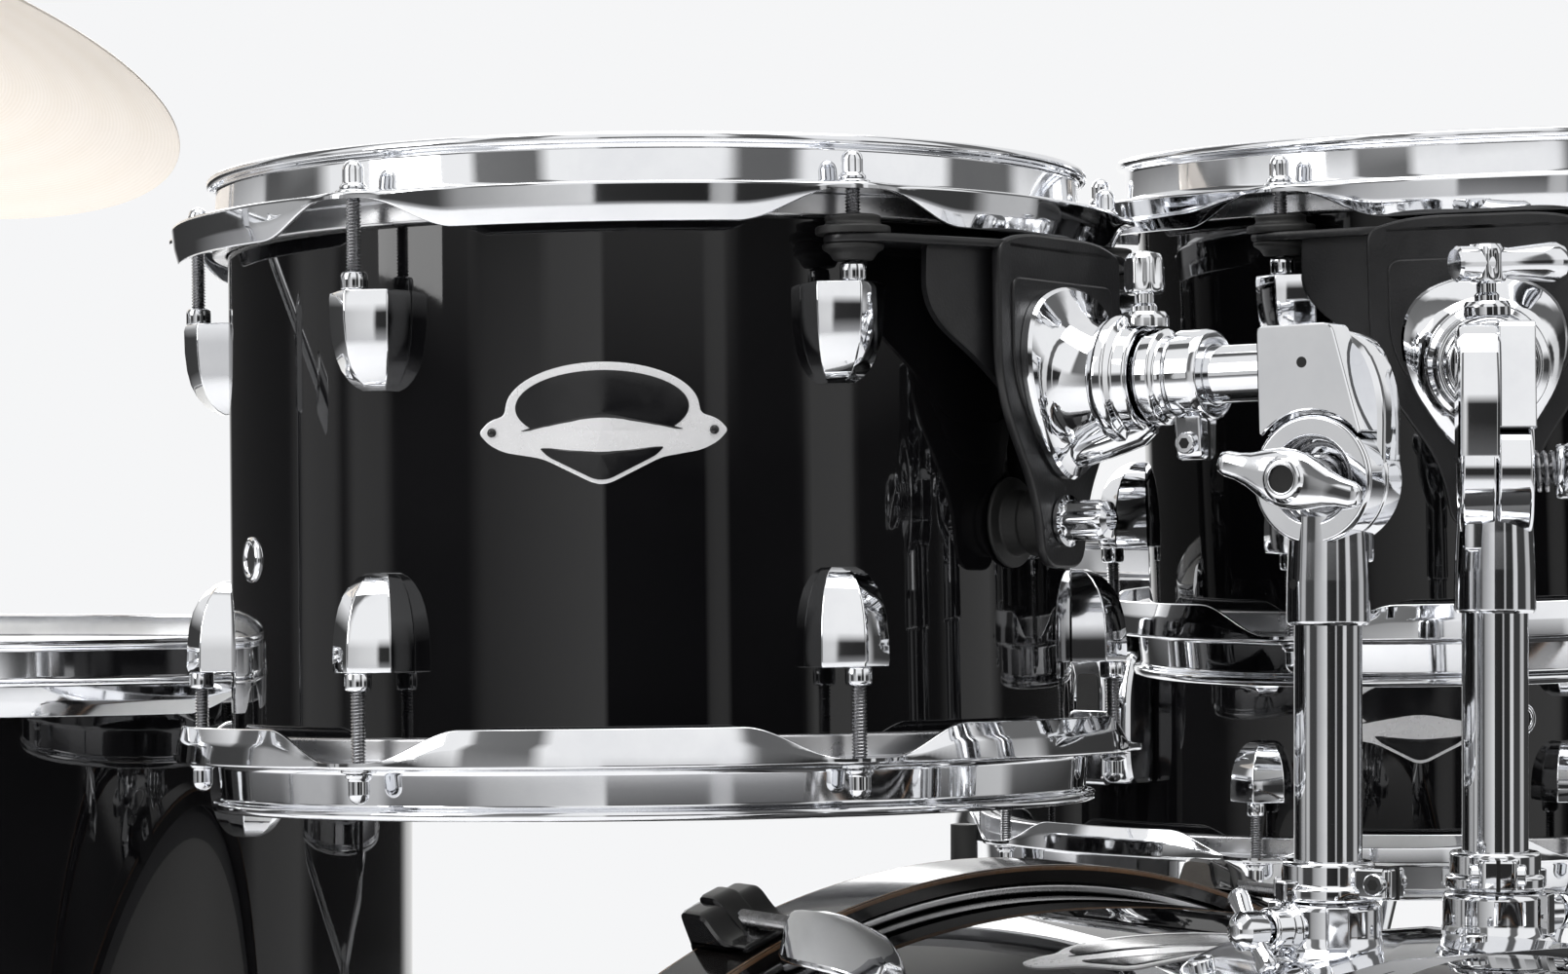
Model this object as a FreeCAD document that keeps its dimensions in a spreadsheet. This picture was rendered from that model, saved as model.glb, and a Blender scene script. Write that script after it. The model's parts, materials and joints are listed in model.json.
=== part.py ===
import FreeCAD, Part
import math
import os
import re
from collections import namedtuple
import Sketcher
from FreeCAD import Placement, Rotation, Vector

# An acoustic drum kit: bass drum, two rack toms on ratchet holders, floor tom, snare drum on
# its stand and a crash cymbal on a boom stand. Millimetres, +Z up, the audience on the -Y side,
# the origin on the floor under the middle of the two tom posts.

doc = FreeCAD.newDocument("drum_kit")
sheet = doc.addObject("Spreadsheet::Sheet", "sizes")

SIZES = {
    # drums: shell radius, shell depth, where each one stands
    "bass_radius": 279.4, "bass_depth": 457.0, "bass_lugs": 8,
    "left_radius": 151.0, "left_depth": 203.2, "right_radius": 126.0, "right_depth": 178.0,
    "rack_lugs": 6,
    "floor_radius": 203.0, "floor_depth": 406.0, "floor_lugs": 8, "floor_x": -233.0,
    "floor_y": 703.0, "floor_clear": 246.0, "floor_turn": -98.0,
    "snare_radius": 177.8, "snare_depth": 140.0, "snare_lugs": 8, "snare_x": 425.0,
    "snare_y": 533.0, "snare_clear": 549.5, "snare_turn": -166.0,
    # shells and heads
    "shell_wall": 7.5, "edge_land": 2.0, "edge_bevel": 5.5, "film": 0.5, "head_gap": 0.4,
    "flesh_width": 5.5, "flesh_tall": 8.0, "flesh_drop": 8.8,
    # pressed steel hoops
    "hoop_wall": 2.3, "hoop_gap": 2.2, "rim_rise": 10.5, "rim_lip": 7.2, "rim_roll": 4.5,
    "skirt_out": 20.0, "skirt_tall": 12.8, "ear_out": 24.5, "ear_half": 12.0,
    "ear_window": 17.0, "ear_plate": 3.0,
    # lugs and tension rods
    "rod_out": 14.0, "rod_radius": 2.6, "rod_play": 0.3, "ear_play": 0.5, "rod_reach": 12.0,
    "washer_radius": 6.0, "washer_tall": 1.5, "key_radius": 3.9, "key_tall": 8.5,
    "lug_edge": 38.5, "lug_tall": 33.0, "lug_half": 12.5, "lug_deep": 19.5, "lug_tip": 6.0,
    "lug_tip_half": 7.0, "collar_radius": 4.4, "collar_tall": 5.6,
    # bass drum hoops, lugs, claws and spurs
    "wood_gap": 1.6, "wood_wall": 9.5, "wood_in": 16.0, "wood_out": 24.0, "wood_seat": 3.2,
    "bass_rod_out": 18.6, "bass_rod_radius": 3.0, "bass_lug_edge": 28.0, "bass_lug_long": 52.0,
    "bass_lug_deep": 25.0, "bass_lug_half": 15.0, "claw_half": 14.0, "claw_wall": 3.0,
    "claw_lip": 7.0, "claw_block": 14.0, "claw_gap": 0.3, "handle_radius": 3.4,
    "handle_half": 24.0, "handle_out": 22.0,
    "bass_flesh_width": 3.8, "bass_flesh_drop": 6.0,
    "spur_radius": 8.0, "spur_turn": 104.0, "spur_back": 112.0, "spur_pitch": 50.0,
    "spur_aim": 50.0, "spur_hub": 20.0, "spur_pad": 9.0, "spur_knob": 14.0, "spur_foot": 13.0,
    # post base on the bass shell, posts and memory locks
    "post_half": 36.0, "post_radius": 11.1, "post_play": 0.08, "post_sunk": 123.9,
    "plate_half_x": 84.0, "plate_half_y": 40.0, "plate_tall": 3.5, "boss_radius": 17.5,
    "boss_tall": 16.0, "lock_tall": 13.0, "lock_radius": 16.5, "lock_gap": 0.3,
    "wing_reach": 34.0, "wing_boss": 7.0, "wing_shank": 3.0, "wing_blade": 5.0,
    "wing_blade_half": 14.0, "wing_blade_wide": 10.0, "base_sunk": 24.0,
    # ratchet tilters, arms and wing nuts
    "ratchet_radius": 21.0, "ratchet_deep": 12.0, "ratchet_gap": 0.3, "bolt_radius": 4.0,
    "bolt_play": 0.08, "bolt_long": 37.0, "nut_gap": 8.0, "nut_radius": 8.5, "nut_deep": 13.0,
    "wing_half": 25.0, "wing_turn": 18.0, "wing_tall": 8.0, "wing_deep": 9.0, "socket_low": 13.4,
    "socket_tall": 26.0, "neck_half": 9.0, "arm_rise": 36.0, "arm_radius": 9.75,
    "arm_play": 0.08, "arm_short": 4.0, "block_half": 12.5, "block_front": 19.0,
    "block_back": 15.0, "block_top": 14.0, "stop_radius": 15.5, "stop_deep": 24.0,
    "stop_gap": 1.0,
    # rack tom suspension and arm bracket
    "left_reach": 272.0, "right_reach": 230.0, "left_drop": 69.6, "right_drop": 74.0,
    "left_rise": 153.1, "right_rise": 156.1, "left_aim": 113.2, "right_aim": 50.6,
    "left_tilt": 1.55, "left_roll": 1.0, "right_tilt": -1.6, "right_roll": -1.8,
    "hang_level": 23.5, "hang_plate": 3.0,
    "plate_out": 18.5, "plate_wall": 3.5, "plate_half": 40.0, "plate_low_half": 13.0,
    "plate_low": 98.0, "plate_waist": 56.0, "grommet_radius": 12.2, "grommet_tall": 5.0,
    "grommet_cone": 5.0, "bumper_radius": 11.0, "bumper_rise": 14.0, "bumper_nut": 6.5,
    "bumper_nut_long": 17.0, "shield_half": 29.0, "shield_tall": 31.0, "shield_wall": 5.0,
    "barrel_radius": 17.5, "barrel_end": 56.0, "cap_radius": 7.0, "cap_tall": 17.0,
    # floor tom legs
    "leg_radius": 6.35, "leg_play": 0.08, "leg_out": 31.0, "leg_long": 455.0,
    "foot_radius": 14.0, "foot_tall": 22.0, "leg_block_tall": 58.0, "leg_block_half": 16.0,
    "leg_block_low": 62.0, "leg_wing": 20.0,
    # snare strainer, wires and stand
    "snare_lug_edge": 33.0, "snare_lug_tall": 27.0, "strainer_half": 17.0,
    "strainer_deep": 21.0, "strainer_tall": 31.0, "lever_wall": 6.0, "lever_gap": 0.4,
    "wire_half": 22.0, "wire_wall": 1.6, "wire_end": 16.0, "stand_tube": 12.7,
    "stand_leg": 250.0, "stand_leg_rise": 185.0, "stand_leg_half": 6.0, "stand_foot": 11.0,
    "basket_drop": 74.0, "basket_half": 6.5, "basket_turn": -30.0, "basket_wall": 7.6,
    "basket_tip": 26.0, "basket_gap": 0.4, "hub_radius": 19.0, "hub_tall": 22.0,
    "tab_half": 5.0, "tab_drop": 24.0, "cheek": 7.0,
    # crash cymbal and boom stand
    "crash_radius": 203.2, "crash_x": -320.0, "crash_y": 750.0, "crash_z": 914.0,
    "crash_lean": 17.5, "crash_lean_aim": 23.7, "crash_stand_x": -610.0,
    "crash_stand_y": 600.0, "crash_bell": 62.0, "crash_bell_rise": 22.0, "crash_bow": 21.0,
    "crash_wall": 1.3, "crash_hole": 6.5, "boom_radius": 6.35, "boom_tall": 800.0,
    "boom_back": 130.0, "crash_leg": 300.0, "crash_leg_rise": 250.0,
    "felt_radius": 17.0, "felt_tall": 10.0, "top_nut": 9.0, "top_nut_tall": 13.0,
    "top_nut_cone": 4.0,
    "top_wing_half": 19.0, "top_wing_wall": 6.0, "top_wing_tall": 7.5, "rod_end": 34.0,
    "felt_gap": 0.4, "tilter_radius": 16.0,
    "tilter_gap": 0.4, "tilter_deep": 12.0, "tilter_drop": 40.0,
}
for row, (name, number) in enumerate(SIZES.items(), start=1):
    sheet.set(f"A{row}", name)
    sheet.set(f"B{row}", str(number))
    sheet.setAlias(f"B{row}", name)
doc.recompute()

WORD = re.compile(r"[a-z][a-z_]*[a-z]")
TOTAL = 360.0
bodies = {}


# ---- helpers: expressions over the sheet, sketches and features ----

def bind(text):
    """The same expression with each size written as a reference to its cell."""
    def cell(match):
        return f"<<sizes>>.{match.group()}" if match.group() in SIZES else match.group()
    return WORD.sub(cell, str(text))


def value(text):
    """What an expression over the sizes comes to."""
    return float(sheet.evalExpression(str(text)))


def new_body(node, placement):
    body = doc.addObject("PartDesign::Body", node)
    body.Label = node
    body.Placement = placement
    bodies[node] = body
    return body


def origin_feature(body, role):
    return [item for item in body.Origin.OriginFeatures if item.Role == role][0]


def new_sketch(body, role, lift):
    sketch = body.newObject("Sketcher::SketchObject", f"{body.Name}_sketch")
    sketch.AttachmentSupport = (origin_feature(body, role), [""])
    sketch.MapMode = "FlatFace"
    sketch.setExpression("AttachmentOffset.Base.z", bind(lift))
    return sketch


def pin_point(sketch, element, point, x, y):
    """Hold one point of the sketch at the two expressions."""
    for kind, text in (("DistanceX", x), ("DistanceY", y)):
        number = sketch.addConstraint(Sketcher.Constraint(kind, -1, 1, element, point, value(text)))
        sketch.setExpression(f"Constraints[{number}]", bind(text))


def outline(body, role, corners, lift="0"):
    """A closed outline through corners given as pairs of expressions."""
    sketch = new_sketch(body, role, lift)
    points = [Vector(value(x), value(y), 0) for x, y in corners]
    for index, point in enumerate(points):
        after = points[(index + 1) % len(points)]
        sketch.addGeometry(Part.LineSegment(point, after), False)
    for index in range(len(points)):
        after = (index + 1) % len(points)
        sketch.addConstraint(Sketcher.Constraint("Coincident", index, 2, after, 1))
    for index, (x, y) in enumerate(corners):
        pin_point(sketch, index, 1, x, y)
    return sketch


def ring(body, role, x, y, radius, lift="0"):
    """A circle at a centre and with a radius given as expressions."""
    sketch = new_sketch(body, role, lift)
    centre = Vector(value(x), value(y), 0)
    sketch.addGeometry(Part.Circle(centre, Vector(0, 0, 1), value(radius)), False)
    pin_point(sketch, 0, 3, x, y)
    number = sketch.addConstraint(Sketcher.Constraint("Radius", 0, value(radius)))
    sketch.setExpression(f"Constraints[{number}]", bind(radius))
    return sketch


def lift_for(role, low, high, cut):
    """Where the sketch plane goes, so that the feature fills low to high along the world axis."""
    if role == "XZ_Plane":
        return f"-({low})" if cut else f"-({high})"
    return high if cut else low


def extrude(body, sketch, low, high, cut):
    kind = "Pocket" if cut else "Pad"
    feature = body.newObject(f"PartDesign::{kind}", f"{body.Name}_{kind.lower()}")
    feature.Profile = sketch
    feature.setExpression("Length", bind(f"({high}) - ({low})"))
    return feature


def prism(body, role, corners, low, high, cut=False):
    """A straight block of the outline from low to high along the plane's axis."""
    sketch = outline(body, role, corners, lift_for(role, low, high, cut))
    return extrude(body, sketch, low, high, cut)


def cylinder(body, role, x, y, radius, low, high, cut=False):
    sketch = ring(body, role, x, y, radius, lift_for(role, low, high, cut))
    return extrude(body, sketch, low, high, cut)


def revolve(body, corners, role="XZ_Plane", axis="Z_Axis"):
    feature = body.newObject("PartDesign::Revolution", f"{body.Name}_turn")
    feature.Profile = outline(body, role, corners)
    feature.ReferenceAxis = (origin_feature(body, axis), [""])
    feature.Angle = TOTAL
    return feature


def loft(body, role, sections):
    """A solid through several outlines, each given as (corners, level)."""
    sketches = [outline(body, role, corners, level) for corners, level in sections]
    feature = body.newObject("PartDesign::AdditiveLoft", f"{body.Name}_loft")
    feature.Profile = sketches[0]
    feature.Sections = sketches[1:]
    feature.Ruled = True
    return feature


def repeat(body, features, count, axis="Z_Axis"):
    """Copy the features round the axis and make the pattern the body's result."""
    pattern = body.newObject("PartDesign::PolarPattern", f"{body.Name}_pattern")
    pattern.Originals = features
    pattern.Axis = (origin_feature(body, axis), [""])
    pattern.Angle = TOTAL
    pattern.setExpression("Occurrences", bind(count))
    body.Tip = pattern
    return pattern


def span(end, low, high):
    """The range low to high at the upper end (+1) or its mirror at the lower end (-1)."""
    if end > 0:
        return low, high
    return f"-({high})", f"-({low})"


def polar(radius, angle):
    """An expression pair for the point at a radius and an angle in degrees."""
    return f"({radius})*cos({angle}*1deg)", f"({radius})*sin({angle}*1deg)"


def box_corners(x_low, x_high, y_low, y_high):
    return [(x_low, y_low), (x_high, y_low), (x_high, y_high), (x_low, y_high)]


def turned(axis, degrees):
    return Placement(Vector(0, 0, 0), Rotation(axis, degrees))


def moved(x, y, z):
    return Placement(Vector(x, y, z), Rotation())


X_AXIS = Vector(1, 0, 0)
Y_AXIS = Vector(0, 1, 0)
Z_AXIS = Vector(0, 0, 1)


def primitive(kind, placement, **sizes):
    """A Part primitive whose sizes are expressions."""
    item = doc.addObject(f"Part::{kind}", kind.lower())
    for name, text in sizes.items():
        item.setExpression(name, bind(text))
    item.Placement = placement
    return item


def join(node, shapes, cuts=()):
    """Fuse the shapes into one named node, less the cutting shapes."""
    fused = doc.addObject("Part::MultiFuse", f"{node}_join" if cuts else node)
    fused.Shapes = shapes
    for index, tool in enumerate(cuts):
        last = index == len(cuts) - 1
        trimmed = doc.addObject("Part::Cut", node if last else f"{node}_cut")
        trimmed.Base = fused
        trimmed.Tool = tool
        fused = trimmed
    fused.Label = node
    bodies[node] = fused
    return fused


# ---- pieces that every drum has, built about the drum's own axis Z ----

Drum = namedtuple("Drum", "name place radius depth lugs lug_edge lug_tall")
BASS_CENTRE = "(bass_radius + wood_gap + wood_wall)"
BASS_CROWN = f"({BASS_CENTRE} + bass_radius)"
BASS_RIM = "bass_radius + wood_gap + wood_wall"


def add_shell(drum):
    body = new_body(f"{drum.name}_shell", drum.place)
    half = f"{drum.depth}/2"
    revolve(body, [
        (f"{drum.radius} - shell_wall", f"-({half}) + edge_bevel"),
        (f"{drum.radius} - edge_land", f"-({half})"),
        (drum.radius, f"-({half}) + edge_land"),
        (drum.radius, f"{half} - edge_land"),
        (f"{drum.radius} - edge_land", half),
        (f"{drum.radius} - shell_wall", f"{half} - edge_bevel"),
    ])
    return body


def head_profile(radius, edge, end=1, width="flesh_width", drop="flesh_drop"):
    """The film over the bearing edge and the flesh hoop that holds it round the shell."""
    inner = f"{radius} + head_gap"
    corners = [
        ("0", edge),
        (inner, edge),
        (inner, f"{edge} - {drop} - flesh_tall"),
        (f"{inner} + {width}", f"{edge} - {drop} - flesh_tall"),
        (f"{inner} + {width}", f"{edge} - {drop}"),
        (f"{inner} + film", f"{edge} - {drop}"),
        (f"{inner} + film", f"{edge} + film"),
        ("0", f"{edge} + film"),
    ]
    return [(x, y if end > 0 else f"-({y})") for x, y in corners]


def hoop_profile(radius, edge, end=1):
    """A triple-flanged rim: rolled top, wall, ledge on the flesh hoop and outer skirt."""
    inner = f"{radius} + hoop_gap"
    wall = f"{inner} + hoop_wall"
    top = f"{edge} + rim_rise"
    seat = f"{edge} - flesh_drop"
    corners = [
        (inner, top),
        (f"{radius} + rim_lip", top),
        (f"{radius} + rim_lip", f"{top} - rim_roll"),
        (wall, f"{top} - rim_roll"),
        (wall, f"{seat} + hoop_wall"),
        (f"{radius} + skirt_out", f"{seat} + hoop_wall"),
        (f"{radius} + skirt_out", f"{seat} + hoop_wall - skirt_tall"),
        (f"{radius} + skirt_out - hoop_wall", f"{seat} + hoop_wall - skirt_tall"),
        (f"{radius} + skirt_out - hoop_wall", seat),
        (inner, seat),
    ]
    return [(x, y if end > 0 else f"-({y})") for x, y in corners]


def fan(inner, outer, half, angle):
    """A rectangle across the ray at the angle, from the inner to the outer radius."""
    along_x, along_y = polar("1", angle)
    corners = []
    for reach, side in ((inner, "-"), (outer, "-"), (outer, ""), (inner, "")):
        shift = f"{side}({half})"
        corners.append((f"({reach})*{along_x} - ({shift})*{along_y}",
                        f"({reach})*{along_y} + ({shift})*{along_x}"))
    return corners


def hoop_ears(body, drum, end):
    """Windows in the skirt, ear plates and rod holes at one lug's angle."""
    seat = f"{drum.depth}/2 - flesh_drop"
    turn = f"180/{drum.lugs}"
    far = f"{drum.radius} + ear_out"
    rim = f"{drum.radius} + skirt_out - hoop_wall/2"
    low, high = span(end, f"{seat} + hoop_wall - skirt_tall - 1", seat)
    window = prism(body, "XY_Plane", fan(f"{rim} - hoop_wall", f"{far} + 2", "ear_window", turn),
                   low, high, cut=True)
    low, high = span(end, seat, f"{seat} + ear_plate")
    ear = prism(body, "XY_Plane", fan(f"{drum.radius} + rim_lip", far, "ear_half", turn), low, high)
    low, high = span(end, f"{seat} - 1", f"{seat} + ear_plate + 1")
    x, y = polar(f"{drum.radius} + rod_out", turn)
    hole = cylinder(body, "XY_Plane", x, y, "rod_radius + ear_play", low, high, cut=True)
    return [window, ear, hole]


def add_head(drum, part, end):
    body = new_body(f"{drum.name}_{part}_head", drum.place)
    revolve(body, head_profile(drum.radius, f"{drum.depth}/2", end))


def add_hoop(drum, part, end):
    body = new_body(f"{drum.name}_{part}_hoop", drum.place)
    revolve(body, hoop_profile(drum.radius, f"{drum.depth}/2", end))
    repeat(body, hoop_ears(body, drum, end), drum.lugs)


def add_head_pair(drum):
    body = new_body(f"{drum.name}_heads", drum.place)
    for end in (1, -1):
        revolve(body, head_profile(drum.radius, f"{drum.depth}/2", end))


def add_hoop_pair(drum):
    body = new_body(f"{drum.name}_hoops", drum.place)
    for end in (1, -1):
        revolve(body, hoop_profile(drum.radius, f"{drum.depth}/2", end))
    repeat(body, hoop_ears(body, drum, 1) + hoop_ears(body, drum, -1), drum.lugs)


def lug_section(radius, half, deep, angle):
    """A faceted slice of a lug: flat on the shell, narrowing to a spine."""
    along_x, along_y = polar("1", angle)
    facets = [("0", "-1"), ("0.55", "-1"), ("1", "-0.35"), ("1", "0.35"), ("0.55", "1"), ("0", "1")]
    corners = []
    for out, side in facets:
        reach = f"({radius} + {out}*{deep})"
        shift = f"({side}*{half})"
        corners.append((f"{reach}*{along_x} - {shift}*{along_y}",
                        f"{reach}*{along_y} + {shift}*{along_x}"))
    return corners


def lug_features(body, drum, end):
    """One lug with its swivel collar and the bore that the rod screws into."""
    turn = f"180/{drum.lugs}"
    top = f"{drum.depth}/2 - {drum.lug_edge}"
    sign = "" if end > 0 else "-"
    levels = [(f"{sign}({top})", "lug_half", "lug_deep"),
              (f"{sign}({top} - {drum.lug_tall}*0.45)", "lug_half", "lug_deep"),
              (f"{sign}({top} - {drum.lug_tall})", "lug_tip_half", "lug_tip")]
    shape = loft(body, "XY_Plane",
                 [(lug_section(drum.radius, half, deep, turn), level) for level, half, deep in levels])
    x, y = polar(f"{drum.radius} + rod_out", turn)
    low, high = span(end, f"{top} - 1", f"{top} + collar_tall")
    collar = cylinder(body, "XY_Plane", x, y, "collar_radius", low, high)
    low, high = span(end, f"{top} - rod_reach", f"{top} + collar_tall + 1")
    bore = cylinder(body, "XY_Plane", x, y, "rod_radius + rod_play", low, high, cut=True)
    return [shape, collar, bore]


def rod_features(body, drum, end):
    """One tension rod: threaded shaft, washer and key head."""
    x, y = polar(f"{drum.radius} + rod_out", f"180/{drum.lugs}")
    seat = f"{drum.depth}/2 - flesh_drop + ear_plate"
    head = f"{seat} + washer_tall"
    low, high = span(end, f"{drum.depth}/2 - {drum.lug_edge} - rod_reach + 1", f"{head} + 1")
    shaft = cylinder(body, "XY_Plane", x, y, "rod_radius", low, high)
    low, high = span(end, seat, head)
    washer = cylinder(body, "XY_Plane", x, y, "washer_radius", low, high)
    low, high = span(end, head, f"{head} + key_tall")
    key = cylinder(body, "XY_Plane", x, y, "key_radius", low, high)
    return [shaft, washer, key]


def add_both_ends(drum, part, makers):
    """A body that holds the makers' features at both ends of a drum, repeated round it."""
    body = new_body(f"{drum.name}_{part}", drum.place)
    features = []
    for maker in makers:
        features += maker(body, drum, 1) + maker(body, drum, -1)
    repeat(body, features, drum.lugs)


# ---- rack toms: the drum, its suspension plate, isolators and arm bracket ----

def add_suspension(tom):
    """Two arms under the rods beside the holder, joined to a plate that hangs down."""
    body = new_body(f"{tom.name}_suspension", tom.place)
    top = f"{tom.depth}/2 - hang_level"
    rod_x, rod_y = polar(f"{tom.radius} + rod_out", f"180/{tom.lugs}")
    back = f"{tom.radius} + plate_out"
    prism(body, "XY_Plane", [
        (f"{rod_x} - 9", f"-({rod_y}) - 10"),
        (f"{rod_x} + 10", f"-({rod_y}) - 10"),
        (f"{back} + plate_wall", "-plate_half"),
        (f"{back} + plate_wall", "plate_half"),
        (f"{rod_x} + 10", f"{rod_y} + 10"),
        (f"{rod_x} - 9", f"{rod_y} + 10"),
        (f"{back} - 5", "plate_half - 6"),
        (f"{back} - 5", "-plate_half + 6"),
    ], f"{top} - hang_plate", top)
    prism(body, "YZ_Plane", [
        ("-plate_half", top),
        ("-plate_half", f"{top} - plate_waist"),
        ("-plate_low_half", f"{top} - plate_low"),
        ("plate_low_half", f"{top} - plate_low"),
        ("plate_half", f"{top} - plate_waist"),
        ("plate_half", top),
    ], back, f"{back} + plate_wall")
    for side in ("", "-"):
        cylinder(body, "XY_Plane", rod_x, f"{side}({rod_y})", "rod_radius + 2.4",
                 f"{top} - hang_plate - 1", f"{top} + 1", cut=True)


def add_isolators(tom):
    """A grommet above and below each arm, and the bumper between the plate and the shell."""
    body = new_body(f"{tom.name}_isolators", tom.place)
    top = f"{tom.depth}/2 - hang_level"
    rod_x, rod_y = polar(f"{tom.radius} + rod_out", f"180/{tom.lugs}")
    for side in ("", "-"):
        y = f"{side}({rod_y})"
        cylinder(body, "XY_Plane", rod_x, y, "grommet_radius", top, f"{top} + grommet_tall")
        cylinder(body, "XY_Plane", rod_x, y, "grommet_radius*0.75",
                 f"{top} - hang_plate - grommet_cone", f"{top} - hang_plate")
        cylinder(body, "XY_Plane", rod_x, y, "rod_radius + rod_play",
                 f"{top} - hang_plate - grommet_cone - 1", f"{top} + grommet_tall + 1", cut=True)
    level = f"{top} - plate_low + bumper_rise"
    cylinder(body, "YZ_Plane", "0", level, "bumper_radius", f"{tom.radius}", f"{tom.radius} + plate_out")


def add_bracket(tom, drop):
    """The shield on the plate, the barrel that the arm slides into, its bolt and bumper nut."""
    body = new_body(f"{tom.name}_bracket", tom.place)
    level = f"{tom.depth}/2 - {drop}"
    face = f"{tom.radius} + plate_out + plate_wall"
    prism(body, "YZ_Plane", [
        ("-shield_half", f"{level} + shield_tall*0.35"),
        ("-shield_half*0.5", f"{level} - shield_tall"),
        ("shield_half*0.5", f"{level} - shield_tall"),
        ("shield_half", f"{level} + shield_tall*0.35"),
        ("shield_half*0.6", f"{level} + shield_tall"),
        ("-shield_half*0.6", f"{level} + shield_tall"),
    ], face, f"{face} + shield_wall")
    cylinder(body, "YZ_Plane", "0", level, "barrel_radius*1.3", f"{face} + shield_wall - 0.5",
             f"{face} + shield_wall + 8")
    cylinder(body, "YZ_Plane", "0", level, "barrel_radius", f"{face} + shield_wall - 0.5",
             f"{tom.radius} + barrel_end")
    cylinder(body, "XY_Plane", f"{tom.radius} + barrel_end - cap_radius - 4", "0", "cap_radius",
             level, f"{level} + barrel_radius + cap_tall")
    cylinder(body, "YZ_Plane", "0", level, "arm_radius + arm_play", f"{face} + shield_wall",
             f"{tom.radius} + barrel_end + 1", cut=True)
    nut = f"{tom.depth}/2 - hang_level - plate_low + bumper_rise"
    cylinder(body, "YZ_Plane", "0", nut, "bumper_nut", face, f"{face} + bumper_nut_long")


def add_rack_tom(tom, drop):
    add_shell(tom)
    for part, end in (("batter", 1), ("reso", -1)):
        add_head(tom, part, end)
        add_hoop(tom, part, end)
    add_both_ends(tom, "lugs", [lug_features])
    add_both_ends(tom, "rods", [rod_features])
    add_suspension(tom)
    add_isolators(tom)
    add_bracket(tom, drop)


# ---- tom holders: memory lock, post with half a ratchet, arm with the other half, wing nut ----

def add_holder(name, side, ratchet, place, tilted, reach, radius):
    """Built about the ratchet: X towards the tom, Y along the ratchet's bolt, Z up."""
    boss_top = f"{BASS_CROWN} + boss_tall"
    lock = new_body(f"{name}_lock", place)
    low = f"{boss_top} + lock_gap - {ratchet}"
    cylinder(lock, "XY_Plane", "0", "0", "lock_radius", low, f"{low} + lock_tall")
    prism(lock, "XY_Plane", box_corners("-lock_radius - 7", "-lock_radius + 3", "-6", "6"),
          low, f"{low} + lock_tall")
    cylinder(lock, "XY_Plane", "0", "0", "post_radius + post_play", f"{low} - 1",
             f"{low} + lock_tall + 1", cut=True)

    post = new_body(f"{name}_post", place)
    neck = "ratchet_radius + socket_tall"
    revolve(post, [
        ("0", f"{BASS_CROWN} - post_sunk - {ratchet}"),
        ("post_radius", f"{BASS_CROWN} - post_sunk - {ratchet}"),
        ("post_radius", f"-({neck})"),
        ("socket_low", f"-({neck})"),
        ("post_radius + 0.6", "-ratchet_radius*0.8"),
        ("0", "-ratchet_radius*0.8"),
    ])
    inner, outer = side_span(side, "ratchet_gap/2", "ratchet_deep", away=True)
    cylinder(post, "XZ_Plane", "0", "0", "ratchet_radius", inner, outer)
    inner, outer = side_span(side, "ratchet_gap/2", "ratchet_deep*0.9", away=True)
    prism(post, "XZ_Plane", box_corners("-neck_half", "neck_half", "-ratchet_radius*1.2", "0"),
          inner, outer)
    trim_low, trim_high = side_span(side, "-ratchet_gap/2", "ratchet_radius", away=False)
    prism(post, "XZ_Plane", box_corners("-ratchet_radius", "ratchet_radius",
                                        "-ratchet_radius - ratchet_gap", "0"),
          trim_low, trim_high, cut=True)
    low, high = side_span(side, "-ratchet_deep/2", "bolt_long", away=False)
    cylinder(post, "XZ_Plane", "0", "0", "bolt_radius", low, high)

    arm = new_body(f"{name}_arm", tilted)
    low, high = side_span(side, "ratchet_gap/2", "ratchet_deep", away=False)
    cylinder(arm, "XZ_Plane", "0", "0", "ratchet_radius - ratchet_gap", low, high)
    prism(arm, "XZ_Plane", box_corners("-neck_half", "neck_half", "0", "arm_rise"), low, high)
    prism(arm, "XZ_Plane", [
        ("-block_back", "ratchet_radius + 1"),
        ("block_front", "ratchet_radius + 1"),
        ("block_front", "arm_rise + block_top*0.8"),
        ("block_front - 10", "arm_rise + block_top"),
        ("-block_back + 12", "arm_rise + block_top"),
        ("-block_back", "arm_rise + block_top - 12"),
    ], "-block_half", "block_half")
    deep_end = f"{reach} - {radius} - plate_out - plate_wall - shield_wall - arm_short"
    cylinder(arm, "YZ_Plane", "0", "arm_rise", "arm_radius", "block_front - 2", deep_end)
    bracket_end = f"{reach} - {radius} - barrel_end"
    cylinder(arm, "YZ_Plane", "0", "arm_rise", "stop_radius", f"{bracket_end} - stop_gap - stop_deep",
             f"{bracket_end} - stop_gap")
    low, high = side_span(side, "-ratchet_deep", "ratchet_deep*1.5", away=False)
    cylinder(arm, "XZ_Plane", "0", "0", "bolt_radius + bolt_play", low, high, cut=True)

    nut = new_body(f"{name}_wing_nut", place.multiply(turned(Y_AXIS, side * value("wing_turn"))))
    start = "ratchet_deep + nut_gap"
    low, high = side_span(side, start, f"{start} + nut_deep", away=False)
    cylinder(nut, "XZ_Plane", "0", "0", "nut_radius", low, high)
    low, high = side_span(side, f"{start} + 3", f"{start} + 3 + wing_deep", away=False)
    prism(nut, "XZ_Plane", [
        ("-wing_half", "0"), ("-wing_half + 2", "-wing_tall"), ("0", "-wing_tall/2"),
        ("wing_half - 2", "-wing_tall"), ("wing_half", "0"), ("wing_half - 6", "wing_tall/2"),
        ("0", "wing_tall*0.7"), ("-wing_half + 6", "wing_tall/2"),
    ], low, high)
    low, high = side_span(side, f"{start} - 1", f"{start} + nut_deep + 1", away=False)
    cylinder(nut, "XZ_Plane", "0", "0", "bolt_radius + bolt_play", low, high, cut=True)


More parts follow.
